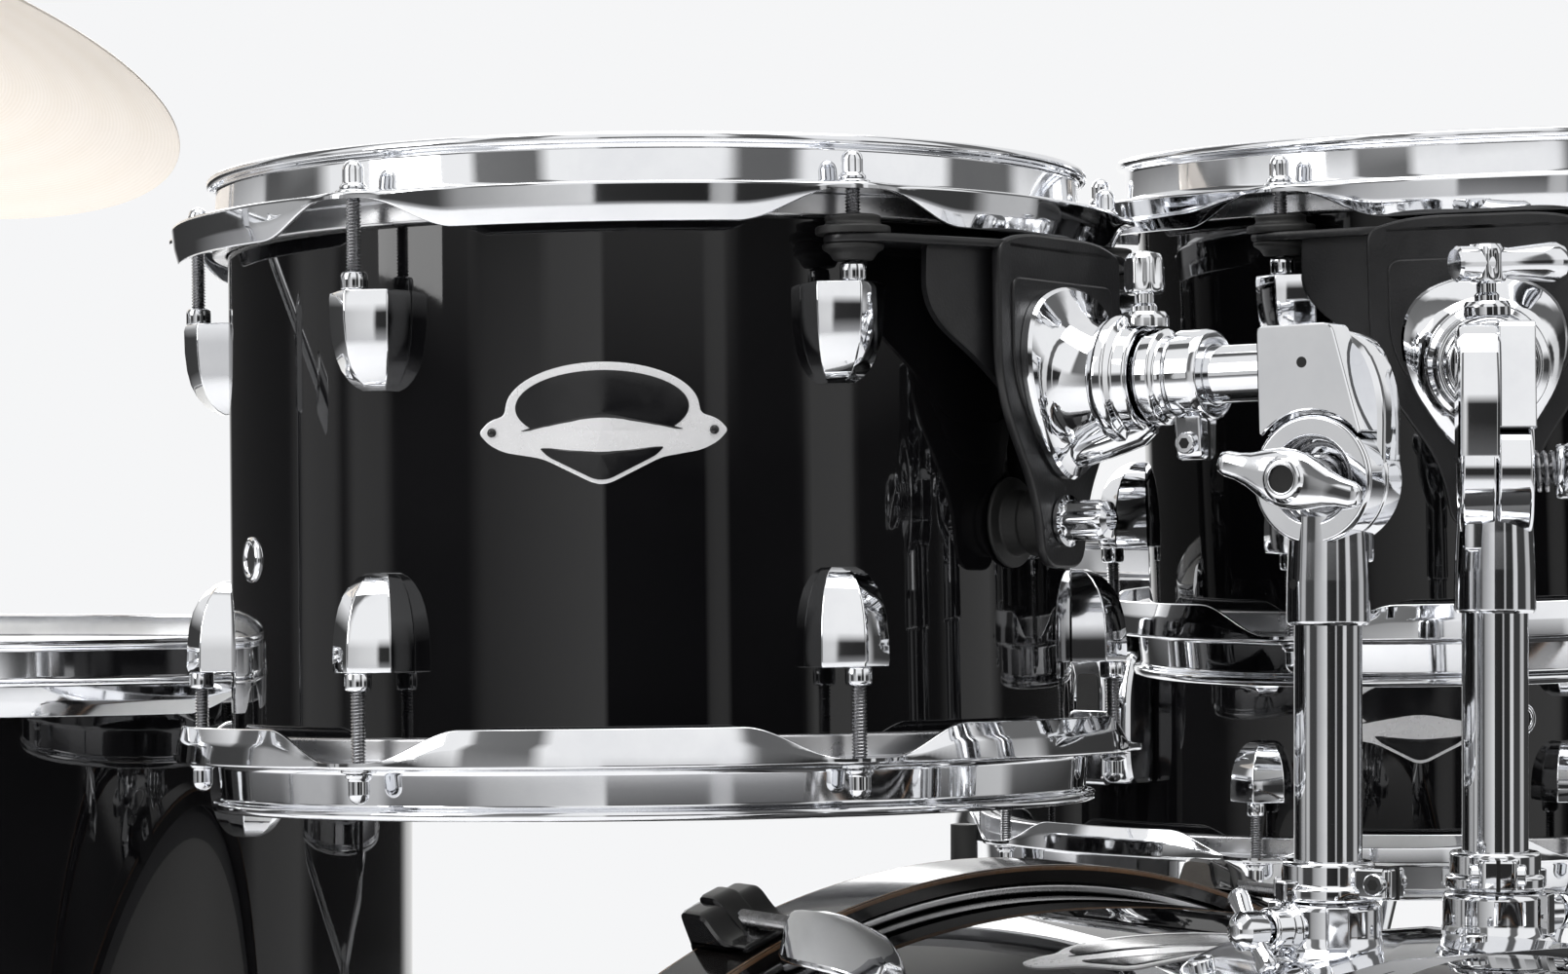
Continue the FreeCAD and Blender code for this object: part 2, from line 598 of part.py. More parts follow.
def side_span(side, low, high, away):
    """The range along the bolt on the wing nut's side, or away from it."""
    towards = side if not away else -side
    return span(towards, low, high)


# ---- bass drum: wood hoops, claws with their T rods, lugs, spurs and the post base ----

def add_bass_head(drum, part, end):
    body = new_body(f"{drum.name}_{part}_head", drum.place)
    revolve(body, head_profile(drum.radius, f"{drum.depth}/2", end, "bass_flesh_width", "bass_flesh_drop"))


def add_wood_hoop(drum, part, end):
    """A wood hoop with a rabbet that presses on the flesh hoop."""
    body = new_body(f"{drum.name}_{part}_hoop", drum.place)
    edge = f"{drum.depth}/2"
    inner = f"{drum.radius} + wood_gap"
    corners = [
        (f"{inner} + wood_seat", f"{edge} - wood_in"),
        (BASS_RIM, f"{edge} - wood_in"),
        (BASS_RIM, f"{edge} + wood_out"),
        (inner, f"{edge} + wood_out"),
        (inner, f"{edge} - bass_flesh_drop"),
        (f"{inner} + wood_seat", f"{edge} - bass_flesh_drop"),
    ]
    revolve(body, [(x, y if end > 0 else f"-({y})") for x, y in corners])


def add_bass_lugs(drum):
    body = new_body("bass_lugs", drum.place)
    turn = f"180/{drum.lugs}"
    features = []
    for end in (1, -1):
        sign = "" if end > 0 else "-"
        top = f"{drum.depth}/2 - bass_lug_edge"
        sections = [
            (lug_section(drum.radius, "bass_lug_half*0.8", "bass_lug_deep", turn), f"{sign}({top})"),
            (lug_section(drum.radius, "bass_lug_half", "bass_lug_deep", turn),
             f"{sign}({top} - bass_lug_long*0.5)"),
            (lug_section(drum.radius, "bass_lug_half*0.6", "bass_lug_deep*0.4", turn),
             f"{sign}({top} - bass_lug_long)"),
        ]
        features.append(loft(body, "XY_Plane", sections))
        x, y = polar(f"{drum.radius} + bass_rod_out", turn)
        low, high = span(end, f"{top} - bass_lug_long*0.45", f"{top} + 1")
        features.append(cylinder(body, "XY_Plane", x, y, "bass_rod_radius + rod_play", low, high, cut=True))
    repeat(body, features, drum.lugs)


def add_claws(drum):
    """Hooked claws over the hoops, each drawn in by a rod with a T handle."""
    half_step = value(f"180/{drum.lugs}")
    body = new_body("bass_claws", drum.place.multiply(turned(Z_AXIS, half_step)))
    edge = f"{drum.depth}/2"
    face = f"{BASS_RIM} + claw_gap"
    hook = f"{edge} + wood_out + claw_gap"
    rod = f"{drum.radius} + bass_rod_out"
    features = []
    for end in (1, -1):
        corners = [
            (face, f"{edge} - wood_in + 4"),
            (f"{face} + claw_wall", f"{edge} - wood_in + 4"),
            (f"{face} + claw_wall", f"{edge} + 6"),
            (f"{face} + claw_block", f"{edge} + 11"),
            (f"{face} + claw_block", f"{hook} + claw_wall"),
            (f"{face} - claw_lip", f"{hook} + claw_wall"),
            (f"{face} - claw_lip", hook),
            (face, hook),
        ]
        profile = [(x, y if end > 0 else f"-({y})") for x, y in corners]
        features.append(prism(body, "XZ_Plane", profile, "-claw_half", "claw_half"))
        low, high = span(end, f"{edge} - wood_in", f"{hook} + claw_wall + 1")
        features.append(cylinder(body, "XY_Plane", rod, "0", "bass_rod_radius + ear_play",
                                 low, high, cut=True))
        low, high = span(end, f"{edge} - bass_lug_edge - bass_lug_long*0.45 + 1",
                         f"{hook} + claw_wall + handle_out")
        features.append(cylinder(body, "XY_Plane", rod, "0", "bass_rod_radius", low, high))
        low, high = span(end, f"{hook} + claw_wall", f"{hook} + claw_wall*2")
        features.append(cylinder(body, "XY_Plane", rod, "0", "bass_rod_radius*2", low, high))
        handle = f"{'' if end > 0 else '-'}({hook} + claw_wall + handle_out)"
        features.append(cylinder(body, "XZ_Plane", rod, handle, "handle_radius",
                                 "-handle_half", "handle_half"))
    repeat(body, features, drum.lugs)


def spur_hub_place(side):
    """The spur's pivot, turned so that Z points out of the shell."""
    out = value("bass_radius + spur_pad + spur_knob + claw_gap")
    turn = value("spur_turn") * side
    pivot = turned(Y_AXIS, turn)
    centre = moved(0, -value("spur_back"), value(BASS_CENTRE))
    return centre.multiply(pivot).multiply(moved(0, 0, out))


def add_spurs():
    """Brackets on the shell and legs that swing about an axis square to it."""
    pads = []
    for side in (-1, 1):
        place = spur_hub_place(side).multiply(moved(0, 0, -value("spur_pad + spur_knob + claw_gap")))
        pads.append(primitive("Cylinder", place, Radius="spur_hub", Height="spur_pad"))
    join("bass_spur_brackets", pads)
    height = f"({BASS_CENTRE} + (bass_radius + spur_pad + spur_knob + claw_gap)*cos(spur_turn*1deg))"
    reach = f"({height} - spur_foot*sin(spur_pitch*1deg))/cos(spur_pitch*1deg) - spur_foot/2"
    pitch = math.radians(value("spur_pitch"))
    aim = math.radians(value("spur_aim"))
    for side, word in ((-1, "left"), (1, "right")):
        direction = Vector(side * math.sin(pitch) * math.cos(aim), -math.sin(pitch) * math.sin(aim),
                           -math.cos(pitch))
        place = Placement(spur_hub_place(side).Base, Rotation(X_AXIS, direction))
        body = new_body(f"bass_spur_{word}", place)
        revolve(body, [
            ("-spur_knob", "0"), ("-spur_knob*0.85", "spur_knob*0.5"), ("-spur_knob*0.4", "spur_knob*0.9"),
            ("spur_knob*0.4", "spur_knob*0.9"), ("spur_knob*0.8", "spur_radius"),
            (f"{reach} - spur_foot*2", "spur_radius"), (f"{reach} - spur_foot*1.5", "spur_foot"),
            (f"{reach} + spur_foot/2", "spur_foot"), (f"{reach} + spur_foot", "spur_foot/2"),
            (f"{reach} + spur_foot", "0"),
        ], axis="X_Axis")


def add_post_base():
    """A curved plate on the bass shell with two receivers and their wing bolts."""
    lying = Placement(Vector(0, value("plate_half_y"), value(BASS_CENTRE)), Rotation(X_AXIS, 90))
    skin = primitive("Cylinder", lying, Radius="bass_radius + plate_tall", Height="plate_half_y*2")
    low = value(f"{BASS_CROWN} - base_sunk")
    frame = primitive("Box", moved(-value("plate_half_x"), -value("plate_half_y"), low),
                      Length="plate_half_x*2", Width="plate_half_y*2", Height="base_sunk*2")
    plate = doc.addObject("Part::MultiCommon", "post_plate")
    plate.Shapes = [skin, frame]
    pieces = [plate]
    bores = []
    boss_height = "base_sunk + boss_tall"
    bolt_level = value(f"{BASS_CROWN} + boss_tall/2")
    for side in (-1, 1):
        x = side * value("post_half")
        pieces.append(primitive("Cylinder", moved(x, 0, low), Radius="boss_radius", Height=boss_height))
        bores.append(primitive("Cylinder", moved(x, 0, low - 1), Radius="post_radius + post_play",
                               Height=f"{boss_height} + 2"))
        out = Placement(Vector(x, 0, bolt_level), Rotation(Vector(0, 1, 0), 90 * side))
        start = out.multiply(moved(0, 0, value("post_radius + 3")))
        pieces.append(primitive("Cylinder", start, Radius="wing_boss",
                                Height="wing_reach - post_radius - 12"))
        pieces.append(primitive("Cylinder", start, Radius="wing_shank",
                                Height="wing_reach - post_radius + 3"))
        wing = out.multiply(moved(-value("wing_blade_wide/2"), -value("wing_blade_half"),
                                  value("wing_reach - wing_blade - 1")))
        pieces.append(primitive("Box", wing, Length="wing_blade_wide", Width="wing_blade_half*2",
                                Height="wing_blade"))
    under = Placement(Vector(0, value("plate_half_y") + 1, value(BASS_CENTRE)), Rotation(X_AXIS, 90))
    bores.append(primitive("Cylinder", under, Radius="bass_radius", Height="plate_half_y*2 + 2"))
    join("post_base", pieces, bores)


def add_bass(drum):
    shell = add_shell(drum)
    for y in ("post_half", "-post_half"):
        cylinder(shell, "YZ_Plane", y, "0", "post_radius + 1", f"{drum.radius} - 60",
                 f"{drum.radius} + 1", cut=True)
    for part, end in (("batter", 1), ("front", -1)):
        add_bass_head(drum, part, end)
        add_wood_hoop(drum, part, end)
    add_bass_lugs(drum)
    add_claws(drum)
    add_spurs()
    add_post_base()


# ---- floor tom: the drum, three leg brackets and three legs with rubber feet ----

LEG_ANGLES = {"a": 0, "b": 135, "c": 225}


def add_floor_tom(drum):
    add_shell(drum)
    add_head_pair(drum)
    add_hoop_pair(drum)
    add_both_ends(drum, "lugs", [lug_features])
    add_both_ends(drum, "rods", [rod_features])
    blocks = new_body(f"{drum.name}_leg_brackets", drum.place)
    low = f"-{drum.depth}/2 + leg_block_low"
    high = f"{low} + leg_block_tall"
    for angle in LEG_ANGLES.values():
        corners = fan(f"{drum.radius} + 0.6", f"{drum.radius} + leg_out + leg_radius + 5",
                      "leg_block_half", angle)
        prism(blocks, "XY_Plane", corners, low, high)
        x, y = polar(f"{drum.radius} + leg_out", angle)
        cylinder(blocks, "XY_Plane", x, y, "leg_radius + leg_play", f"{low} - 1", f"{high} + 1", cut=True)
        along_x, along_y = polar("1", angle)
        wing = fan(f"{drum.radius} + leg_out - 3", f"{drum.radius} + leg_out + 3",
                   "leg_block_half + leg_wing", angle)
        bar = [wing[2], wing[3], fan(f"{drum.radius} + leg_out - 3", f"{drum.radius} + leg_out + 3",
                                     "leg_block_half - 1", angle)[3],
               fan(f"{drum.radius} + leg_out - 3", f"{drum.radius} + leg_out + 3",
                   "leg_block_half - 1", angle)[2]]
        prism(blocks, "XY_Plane", bar, f"{low} + 22", f"{low} + 36")
    for word, angle in LEG_ANGLES.items():
        spot = drum.place.multiply(turned(Z_AXIS, angle)).multiply(
            moved(value(f"{drum.radius} + leg_out"), 0, 0))
        leg = new_body(f"{drum.name}_leg_{word}", moved(spot.Base.x, spot.Base.y, 0))
        revolve(leg, [
            ("0", "0"), ("foot_radius", "0"), ("foot_radius", "foot_tall*0.5"),
            ("leg_radius + 3", "foot_tall"), ("leg_radius", "foot_tall"),
            ("leg_radius", "leg_long"), ("0", "leg_long"),
        ])


# ---- snare drum: strainer, lever and wires, held by a basket on a tripod ----

def add_snare(drum):
    add_shell(drum)
    add_head_pair(drum)
    add_hoop_pair(drum)
    add_both_ends(drum, "lugs", [lug_features, rod_features])
    strainer = new_body("snare_strainer", drum.place)
    face = f"{drum.radius} + strainer_deep"
    prism(strainer, "XY_Plane", box_corners(f"{drum.radius} + 0.9", face, "-strainer_half", "strainer_half"),
          "-strainer_tall", "strainer_tall")
    lever = new_body("snare_lever", drum.place)
    pivot_x = f"{face} + lever_gap + lever_wall/2"
    pivot_z = "-strainer_tall + lever_wall/2"
    prism(lever, "XZ_Plane", [
        (f"{face} + lever_gap", pivot_z),
        (f"{face} + lever_gap + lever_wall", pivot_z),
        (f"{face} + lever_gap + lever_wall", "strainer_tall - 8"),
        (f"{face} + lever_gap + lever_wall*2.2", "strainer_tall + 2"),
        (f"{face} + lever_gap + lever_wall*1.4", "strainer_tall + 2"),
        (f"{face} + lever_gap", "strainer_tall - 6"),
    ], "-strainer_half*0.5", "strainer_half*0.5")
    cylinder(lever, "XZ_Plane", pivot_x, pivot_z, "lever_wall/2", "-strainer_half*0.5",
             "strainer_half*0.5")
    wires = new_body("snare_wires", drum.place)
    under = f"-({drum.depth}/2 + film)"
    reach = f"{drum.radius} - wire_end"
    prism(wires, "XY_Plane", box_corners(f"-({reach})", reach, "-wire_half", "wire_half"),
          f"{under} - wire_wall", under)


def rim_level():
    """The height of the snare drum's lower rim above the floor."""
    return "(snare_clear - rim_rise)"


def add_snare_stand(drum):
    column = moved(value("snare_x"), value("snare_y"), 0)
    turn = value("snare_turn + basket_turn")
    place = column.multiply(turned(Z_AXIS, turn))
    rim = rim_level()
    tip = f"{drum.radius} + skirt_out + basket_gap"
    basket = new_body("snare_basket", place)
    arm = prism(basket, "XZ_Plane", [
        ("8", f"{rim} - basket_drop - 8"), (f"{drum.radius} + 6", f"{rim} - 30"),
        (f"{tip} + basket_wall", f"{rim} - 14"), (f"{tip} + basket_wall", f"{rim} + basket_tip"),
        (tip, f"{rim} + basket_tip"), (tip, rim),
        (f"{drum.radius} - 2", rim), (f"{drum.radius} - 2", f"{rim} - 18"),
        ("8", f"{rim} - basket_drop + 2"),
    ], "-basket_half", "basket_half")
    repeat(basket, [arm], 3)
    hub_low = f"{rim} - basket_drop - 12"
    cylinder(basket, "XY_Plane", "0", "0", "hub_radius", hub_low, f"{hub_low} + hub_tall")
    pivot = f"{hub_low} - tab_drop + 8"
    prism(basket, "XZ_Plane", box_corners("-8", "8", f"{pivot} - 8", f"{hub_low} + 2"),
          "-tab_half", "tab_half")
    cylinder(basket, "XZ_Plane", "0", pivot, "bolt_radius + bolt_play", "-tab_half - 1", "tab_half + 1",
             cut=True)

    stand = new_body("snare_stand", place)
    top = f"{pivot} - 14"
    cylinder(stand, "XY_Plane", "0", "0", "stand_tube", "60", top)
    for low, high in (("tab_half + basket_gap", "tab_half + basket_gap + cheek"),
                      ("-tab_half - basket_gap - cheek", "-tab_half - basket_gap")):
        prism(stand, "XZ_Plane", box_corners("-10", "10", f"{top} - 12", f"{pivot} + 9"), low, high)
    cylinder(stand, "XZ_Plane", "0", pivot, "bolt_radius", "-tab_half - basket_gap - cheek - 3",
             "tab_half + basket_gap + cheek + 3")
    add_tripod(stand, "stand_leg", "stand_leg_rise", "stand_tube")


def add_tripod(body, reach, rise, tube):
    """Three legs that run down from a collar to rubber feet on the floor."""
    leg = prism(body, "XZ_Plane", [
        (f"{tube} - 2", rise), (f"{tube} - 2", f"{rise} - 16"), (f"{reach} - stand_foot", "8"),
        (f"{reach} + stand_foot", "8"), (f"{reach} + stand_foot", "20"), (reach, "24"),
    ], "-stand_leg_half", "stand_leg_half")
    foot = cylinder(body, "XY_Plane", reach, "0", "stand_foot", "0", "22")
    repeat(body, [leg, foot], 3)
    cylinder(body, "XY_Plane", "0", "0", f"{tube} + 6", f"{rise} - 24", f"{rise} + 8")


# ---- crash cymbal: tripod stand, boom with the cymbal's rod, cymbal ----

def add_crash():
    lean_axis = Vector(-math.sin(math.radians(value("crash_lean_aim"))),
                       math.cos(math.radians(value("crash_lean_aim"))), 0)
    disc = Placement(Vector(value("crash_x"), value("crash_y"), value("crash_z")),
                     Rotation(lean_axis, value("crash_lean")))
    crown = "(crash_bow + crash_bell_rise)"
    cymbal = new_body("crash_cymbal", disc)
    upper = [("crash_radius", "0"), ("crash_radius*0.85", "crash_bow*0.3"),
             ("crash_radius*0.62", "crash_bow*0.67"), ("crash_bell", "crash_bow"),
             ("crash_bell*0.85", f"crash_bow + crash_bell_rise*0.5"),
             ("crash_bell*0.55", f"crash_bow + crash_bell_rise*0.9"),
             ("crash_bell*0.32", crown), ("crash_hole", crown)]
    lower = [(x, f"{y} - crash_wall") for x, y in reversed(upper)]
    revolve(cymbal, upper + lower)

    stand_top = Vector(value("crash_stand_x"), value("crash_stand_y"), value("boom_tall"))
    tilter = disc.multVec(Vector(0, 0, -value("tilter_drop")))
    run = tilter.sub(stand_top)
    length = run.Length
    along = Placement(stand_top, Rotation(X_AXIS, Vector(run.x, run.y, 0)))
    pitched = Placement(stand_top, along.Rotation.multiply(
        Rotation(Y_AXIS, -math.degrees(math.asin(run.z / length)))))
    lie = turned(Y_AXIS, 90)
    across = turned(X_AXIS, 90)
    felt_top = f"{crown} - crash_wall - felt_gap"
    parts = [
        primitive("Cylinder", pitched.multiply(moved(-value("boom_back"), 0, 0)).multiply(lie),
                  Radius="boom_radius", Height=f"boom_back + {length}"),
        primitive("Cylinder", pitched.multiply(moved(-value("boom_back"), 0, 0)).multiply(lie),
                  Radius="boom_radius*2.4", Height="46"),
        primitive("Cylinder", pitched.multiply(moved(0, value("tilter_deep/2"), 0)).multiply(across),
                  Radius="tilter_radius", Height="tilter_deep"),
        primitive("Sphere", Placement(tilter, Rotation()), Radius="tilter_radius*0.8"),
        primitive("Cylinder", disc.multiply(moved(0, 0, -value("tilter_drop"))), Radius="bolt_radius",
                  Height=f"tilter_drop + {crown} + rod_end"),
        primitive("Cylinder", disc.multiply(moved(0, 0, value(f"{felt_top} - felt_tall"))),
                  Radius="felt_radius", Height="felt_tall"),
        primitive("Cylinder", disc.multiply(moved(0, 0, value(f"{crown} + felt_gap"))),
                  Radius="felt_radius", Height="felt_tall"),
        primitive("Cylinder", disc.multiply(moved(0, 0, value(f"{crown} + felt_gap + felt_tall"))),
                  Radius="top_nut", Height="top_nut_tall - top_nut_cone"),
        primitive("Cone", disc.multiply(moved(0, 0, value(
            f"{crown} + felt_gap + felt_tall + top_nut_tall - top_nut_cone"))),
                  Radius1="top_nut", Radius2="bolt_radius", Height="top_nut_cone"),
        primitive("Box", disc.multiply(moved(-value("top_wing_half"), -value("top_wing_wall/2"),
                                             value(f"{crown} + felt_gap + felt_tall"))),
                  Length="top_wing_half*2", Width="top_wing_wall",
                  Height="top_wing_tall"),
    ]
    bore = primitive("Cylinder", pitched.multiply(moved(0, value("tilter_deep"), 0)).multiply(across),
                     Radius="bolt_radius + bolt_play", Height="tilter_deep*2")
    join("crash_boom", parts, [bore])

    stand = new_body("crash_stand", along.multiply(moved(0, 0, -value("boom_tall"))))
    cheek_low = "tilter_deep/2 + tilter_gap"
    for low, high in ((cheek_low, f"{cheek_low} + cheek"), (f"-({cheek_low} + cheek)", f"-({cheek_low})")):
        prism(stand, "XZ_Plane", box_corners("-12", "12", "boom_tall - tilter_radius - 24",
                                             "boom_tall + 12"), low, high)
    cylinder(stand, "XY_Plane", "0", "0", "stand_tube", "60", "boom_tall - tilter_radius - 6")
    cylinder(stand, "XZ_Plane", "0", "boom_tall", "bolt_radius", f"-({cheek_low} + cheek + 3)",
             f"{cheek_low} + cheek + 3")
    add_tripod(stand, "crash_leg", "crash_leg_rise", "stand_tube")


# ---- the kit ----

def holder_frames(word, sign):
    """The ratchet's frame and the same frame tilted with the arm."""
    ratchet = moved(sign * value("post_half"), 0, value(f"{BASS_CROWN} + {word}_rise"))
    level = ratchet.multiply(turned(Z_AXIS, value(f"{word}_aim")))
    return level, level.multiply(turned(Y_AXIS, value(f"{word}_tilt")))


def tom_frame(word, tilted):
    """The tom's own frame, with X from the tom towards its post."""
    out = moved(value(f"{word}_reach"), 0, value("arm_rise"))
    rolled = turned(X_AXIS, value(f"{word}_roll"))
    down = moved(0, 0, -value(f"{word}_depth/2 - {word}_drop"))
    return tilted.multiply(out).multiply(rolled).multiply(down).multiply(turned(Z_AXIS, 180))


for word, sign, side in (("left", -1, 1), ("right", 1, -1)):
    level, tilted = holder_frames(word, sign)
    add_holder(f"{word}_holder", side, f"({BASS_CROWN} + {word}_rise)", level, tilted, f"{word}_reach",
               f"{word}_radius")
    add_rack_tom(Drum(f"{word}_tom", tom_frame(word, tilted), f"{word}_radius", f"{word}_depth",
                      "rack_lugs", "lug_edge", "lug_tall"), f"{word}_drop")

bass_frame = moved(0, 0, value(BASS_CENTRE)).multiply(turned(Vector(1, 1, 1), 240))
add_bass(Drum("bass", bass_frame, "bass_radius", "bass_depth", "bass_lugs", "bass_lug_edge",
              "bass_lug_long"))

floor_frame = moved(value("floor_x"), value("floor_y"), value("floor_clear + floor_depth/2")).multiply(
    turned(Z_AXIS, value("floor_turn")))
add_floor_tom(Drum("floor_tom", floor_frame, "floor_radius", "floor_depth", "floor_lugs", "lug_edge",
                   "lug_tall"))

snare_frame = moved(value("snare_x"), value("snare_y"), value("snare_clear + snare_depth/2")).multiply(
    turned(Z_AXIS, value("snare_turn")))
snare = Drum("snare", snare_frame, "snare_radius", "snare_depth", "snare_lugs", "snare_lug_edge",
             "snare_lug_tall")
add_snare(snare)
add_snare_stand(snare)
add_crash()

doc.recompute()

for item in doc.Objects:
    if {"Invalid", "Error"} & set(item.State):
        raise RuntimeError(f"{item.Label} failed: {item.State}")
for node, body in bodies.items():
    if body.Shape.isNull() or not body.Shape.isValid() or not body.Shape.Solids:
        raise RuntimeError(f"{node} has no valid solid")

os.makedirs("parts", exist_ok=True)
for node, body in bodies.items():
    body.Shape.exportStep(f"parts/{node}.step")
print(len(bodies), "nodes,", sum(len(body.Shape.Solids) for body in bodies.values()), "solids")
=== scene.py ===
import json
import math
import bpy
import numpy as np
from mathutils import Matrix, Vector


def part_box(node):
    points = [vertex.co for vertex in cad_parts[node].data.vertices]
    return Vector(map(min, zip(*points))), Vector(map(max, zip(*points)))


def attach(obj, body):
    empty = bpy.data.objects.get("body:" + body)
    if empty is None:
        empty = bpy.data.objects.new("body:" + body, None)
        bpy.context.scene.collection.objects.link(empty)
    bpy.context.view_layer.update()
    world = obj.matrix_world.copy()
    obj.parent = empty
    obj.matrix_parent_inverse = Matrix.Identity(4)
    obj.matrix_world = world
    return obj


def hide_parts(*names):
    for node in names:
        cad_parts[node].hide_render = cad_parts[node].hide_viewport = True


# An acoustic drum kit: bass drum, two rack toms on ratchet holders, floor tom, snare drum on
# its stand and a crash cymbal on a boom stand. Metres, +Z up, the audience on the -Y side.

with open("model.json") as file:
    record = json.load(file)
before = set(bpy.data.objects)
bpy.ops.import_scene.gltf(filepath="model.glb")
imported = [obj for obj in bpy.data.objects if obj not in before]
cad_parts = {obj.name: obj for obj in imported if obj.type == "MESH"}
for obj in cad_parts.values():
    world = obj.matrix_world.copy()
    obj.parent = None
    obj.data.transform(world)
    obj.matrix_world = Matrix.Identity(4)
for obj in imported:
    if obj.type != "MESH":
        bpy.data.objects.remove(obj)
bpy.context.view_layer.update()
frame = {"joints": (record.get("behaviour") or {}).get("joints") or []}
joints = {joint["name"]: joint for joint in frame["joints"]}
MM = 0.001

# ---- the camera, level with the middle of the rack toms ----

HEADING = math.radians(32.5)
camera_data = bpy.data.cameras.new("camera")
camera_data.lens = 98.3
camera_data.sensor_width = 36.0
camera_data.shift_y = 0.0149
camera = bpy.data.objects.new("camera", camera_data)
camera.location = (-0.934, -1.080, 0.713)
camera.rotation_euler = (math.radians(90), 0, -HEADING)
bpy.context.scene.collection.objects.link(camera)
bpy.context.scene.camera = camera

# ---- the studio: a pale floor, a white surround and a room of soft boxes and black flags ----
# The floor fades out at its rim, so that it meets the white surround without a line.

FLOOR_RADIUS = 3.4
FLOOR_FADE = 2.0
FLOOR_STEPS = 96
bpy.context.scene.view_settings.view_transform = "Standard"


def add_node(tree, kind, **inputs):
    """A node with its unlinked sockets set by name or by index."""
    node = tree.nodes.new("ShaderNode" + kind)
    for key, start in inputs.items():
        socket = node.inputs[int(key[1:])] if key[0] == "i" and key[1:].isdigit() else node.inputs[key]
        socket.default_value = start
    return node


def calc(tree, operation, first, second=None, third=None):
    """A Math node over sockets and plain numbers."""
    node = tree.nodes.new("ShaderNodeMath")
    node.operation = operation
    for index, term in enumerate((first, second, third)):
        if isinstance(term, (int, float)):
            node.inputs[index].default_value = term
        elif term is not None:
            tree.links.new(term, node.inputs[index])
    return node.outputs[0]


def bands(tree, driver, stops, interpolation="LINEAR"):
    """A colour ramp of greys, given as (place, level) pairs."""
    ramp = tree.nodes.new("ShaderNodeValToRGB")
    ramp.color_ramp.interpolation = interpolation
    points = ramp.color_ramp.elements
    while len(points) < len(stops):
        points.new(0.5)
    for point, (place, level) in zip(points, sorted(stops)):
        point.position = place
        point.color = (level, level, level, 1)
    tree.links.new(driver, ramp.inputs[0])
    return ramp.outputs[0]


world = bpy.data.worlds.new("studio")
bpy.context.scene.world = world
world.use_nodes = True
room = world.node_tree
room.nodes.clear()
toward = room.nodes.new("ShaderNodeTexCoord")
axes = room.nodes.new("ShaderNodeSeparateXYZ")
room.links.new(toward.outputs["Generated"], axes.inputs[0])
east, north, up = axes.outputs
side_x, side_y = math.cos(HEADING), -math.sin(HEADING)
back_x, back_y = -math.sin(HEADING), -math.cos(HEADING)
across = calc(room, "ADD", calc(room, "MULTIPLY", east, side_x), calc(room, "MULTIPLY", north, side_y))
back = calc(room, "ADD", calc(room, "MULTIPLY", east, back_x), calc(room, "MULTIPLY", north, back_y))
turn = calc(room, "MULTIPLY_ADD", calc(room, "ARCTAN2", across, back), 0.5 / math.pi, 0.5)


def bearing(degrees):
    return degrees / 360 + 0.5


LEVEL_BANDS = [(-180, 1.0), (-168, 1.0), (-160, 0.04), (-112, 0.06), (-104, 0.42), (-92, 0.42), (-88, 0.05),
               (-84, 0.5), (-74, 0.5), (-70, 0.06), (-48, 0.06), (-43, 0.34), (-11, 0.78), (-10, 0.03),
               (16, 0.02), (17, 0.45), (21, 0.5),
               (22, 0.03), (42, 0.03), (45, 0.7), (56, 0.75), (58, 0.05), (84, 0.05), (90, 0.5),
               (104, 0.55), (110, 0.05), (158, 0.04), (166, 1.0), (180, 1.0)]
ROOF_BANDS = [(-180, 0.9), (-120, 0.85), (-118, 0.12), (-96, 0.12), (-90, 0.95), (-46, 1.0), (-44, 0.2),
              (-28, 0.16), (-24, 1.0), (22, 1.0), (26, 0.14), (40, 0.14), (44, 1.0), (86, 1.0),
              (90, 0.15), (112, 0.15), (118, 0.9), (180, 0.9)]
level = bands(room, turn, [(bearing(a), g) for a, g in LEVEL_BANDS])
roof = bands(room, turn, [(bearing(a), g) for a, g in ROOF_BANDS])
lift = add_node(room, "MapRange", i1=0.07, i2=0.2)
room.links.new(up, lift.inputs[0])
sink = add_node(room, "MapRange", i1=-0.10, i2=-0.35)
room.links.new(up, sink.inputs[0])
blend_up = add_node(room, "MixRGB")
room.links.new(lift.outputs[0], blend_up.inputs[0])
room.links.new(level, blend_up.inputs[1])
room.links.new(roof, blend_up.inputs[2])
blend_down = add_node(room, "MixRGB", i2=(0.62, 0.62, 0.63, 1))
room.links.new(sink.outputs[0], blend_down.inputs[0])
room.links.new(blend_up.outputs[0], blend_down.inputs[1])
lit = add_node(room, "Background", Strength=1.0)
room.links.new(blend_down.outputs[0], lit.inputs["Color"])
plain = add_node(room, "Background", Strength=1.0, Color=(0.915, 0.92, 0.93, 1))
rays = room.nodes.new("ShaderNodeLightPath")
either = room.nodes.new("ShaderNodeMixShader")
room.links.new(rays.outputs["Is Camera Ray"], either.inputs[0])
room.links.new(lit.outputs[0], either.inputs[1])
room.links.new(plain.outputs[0], either.inputs[2])
surround = room.nodes.new("ShaderNodeOutputWorld")
room.links.new(either.outputs[0], surround.inputs["Surface"])

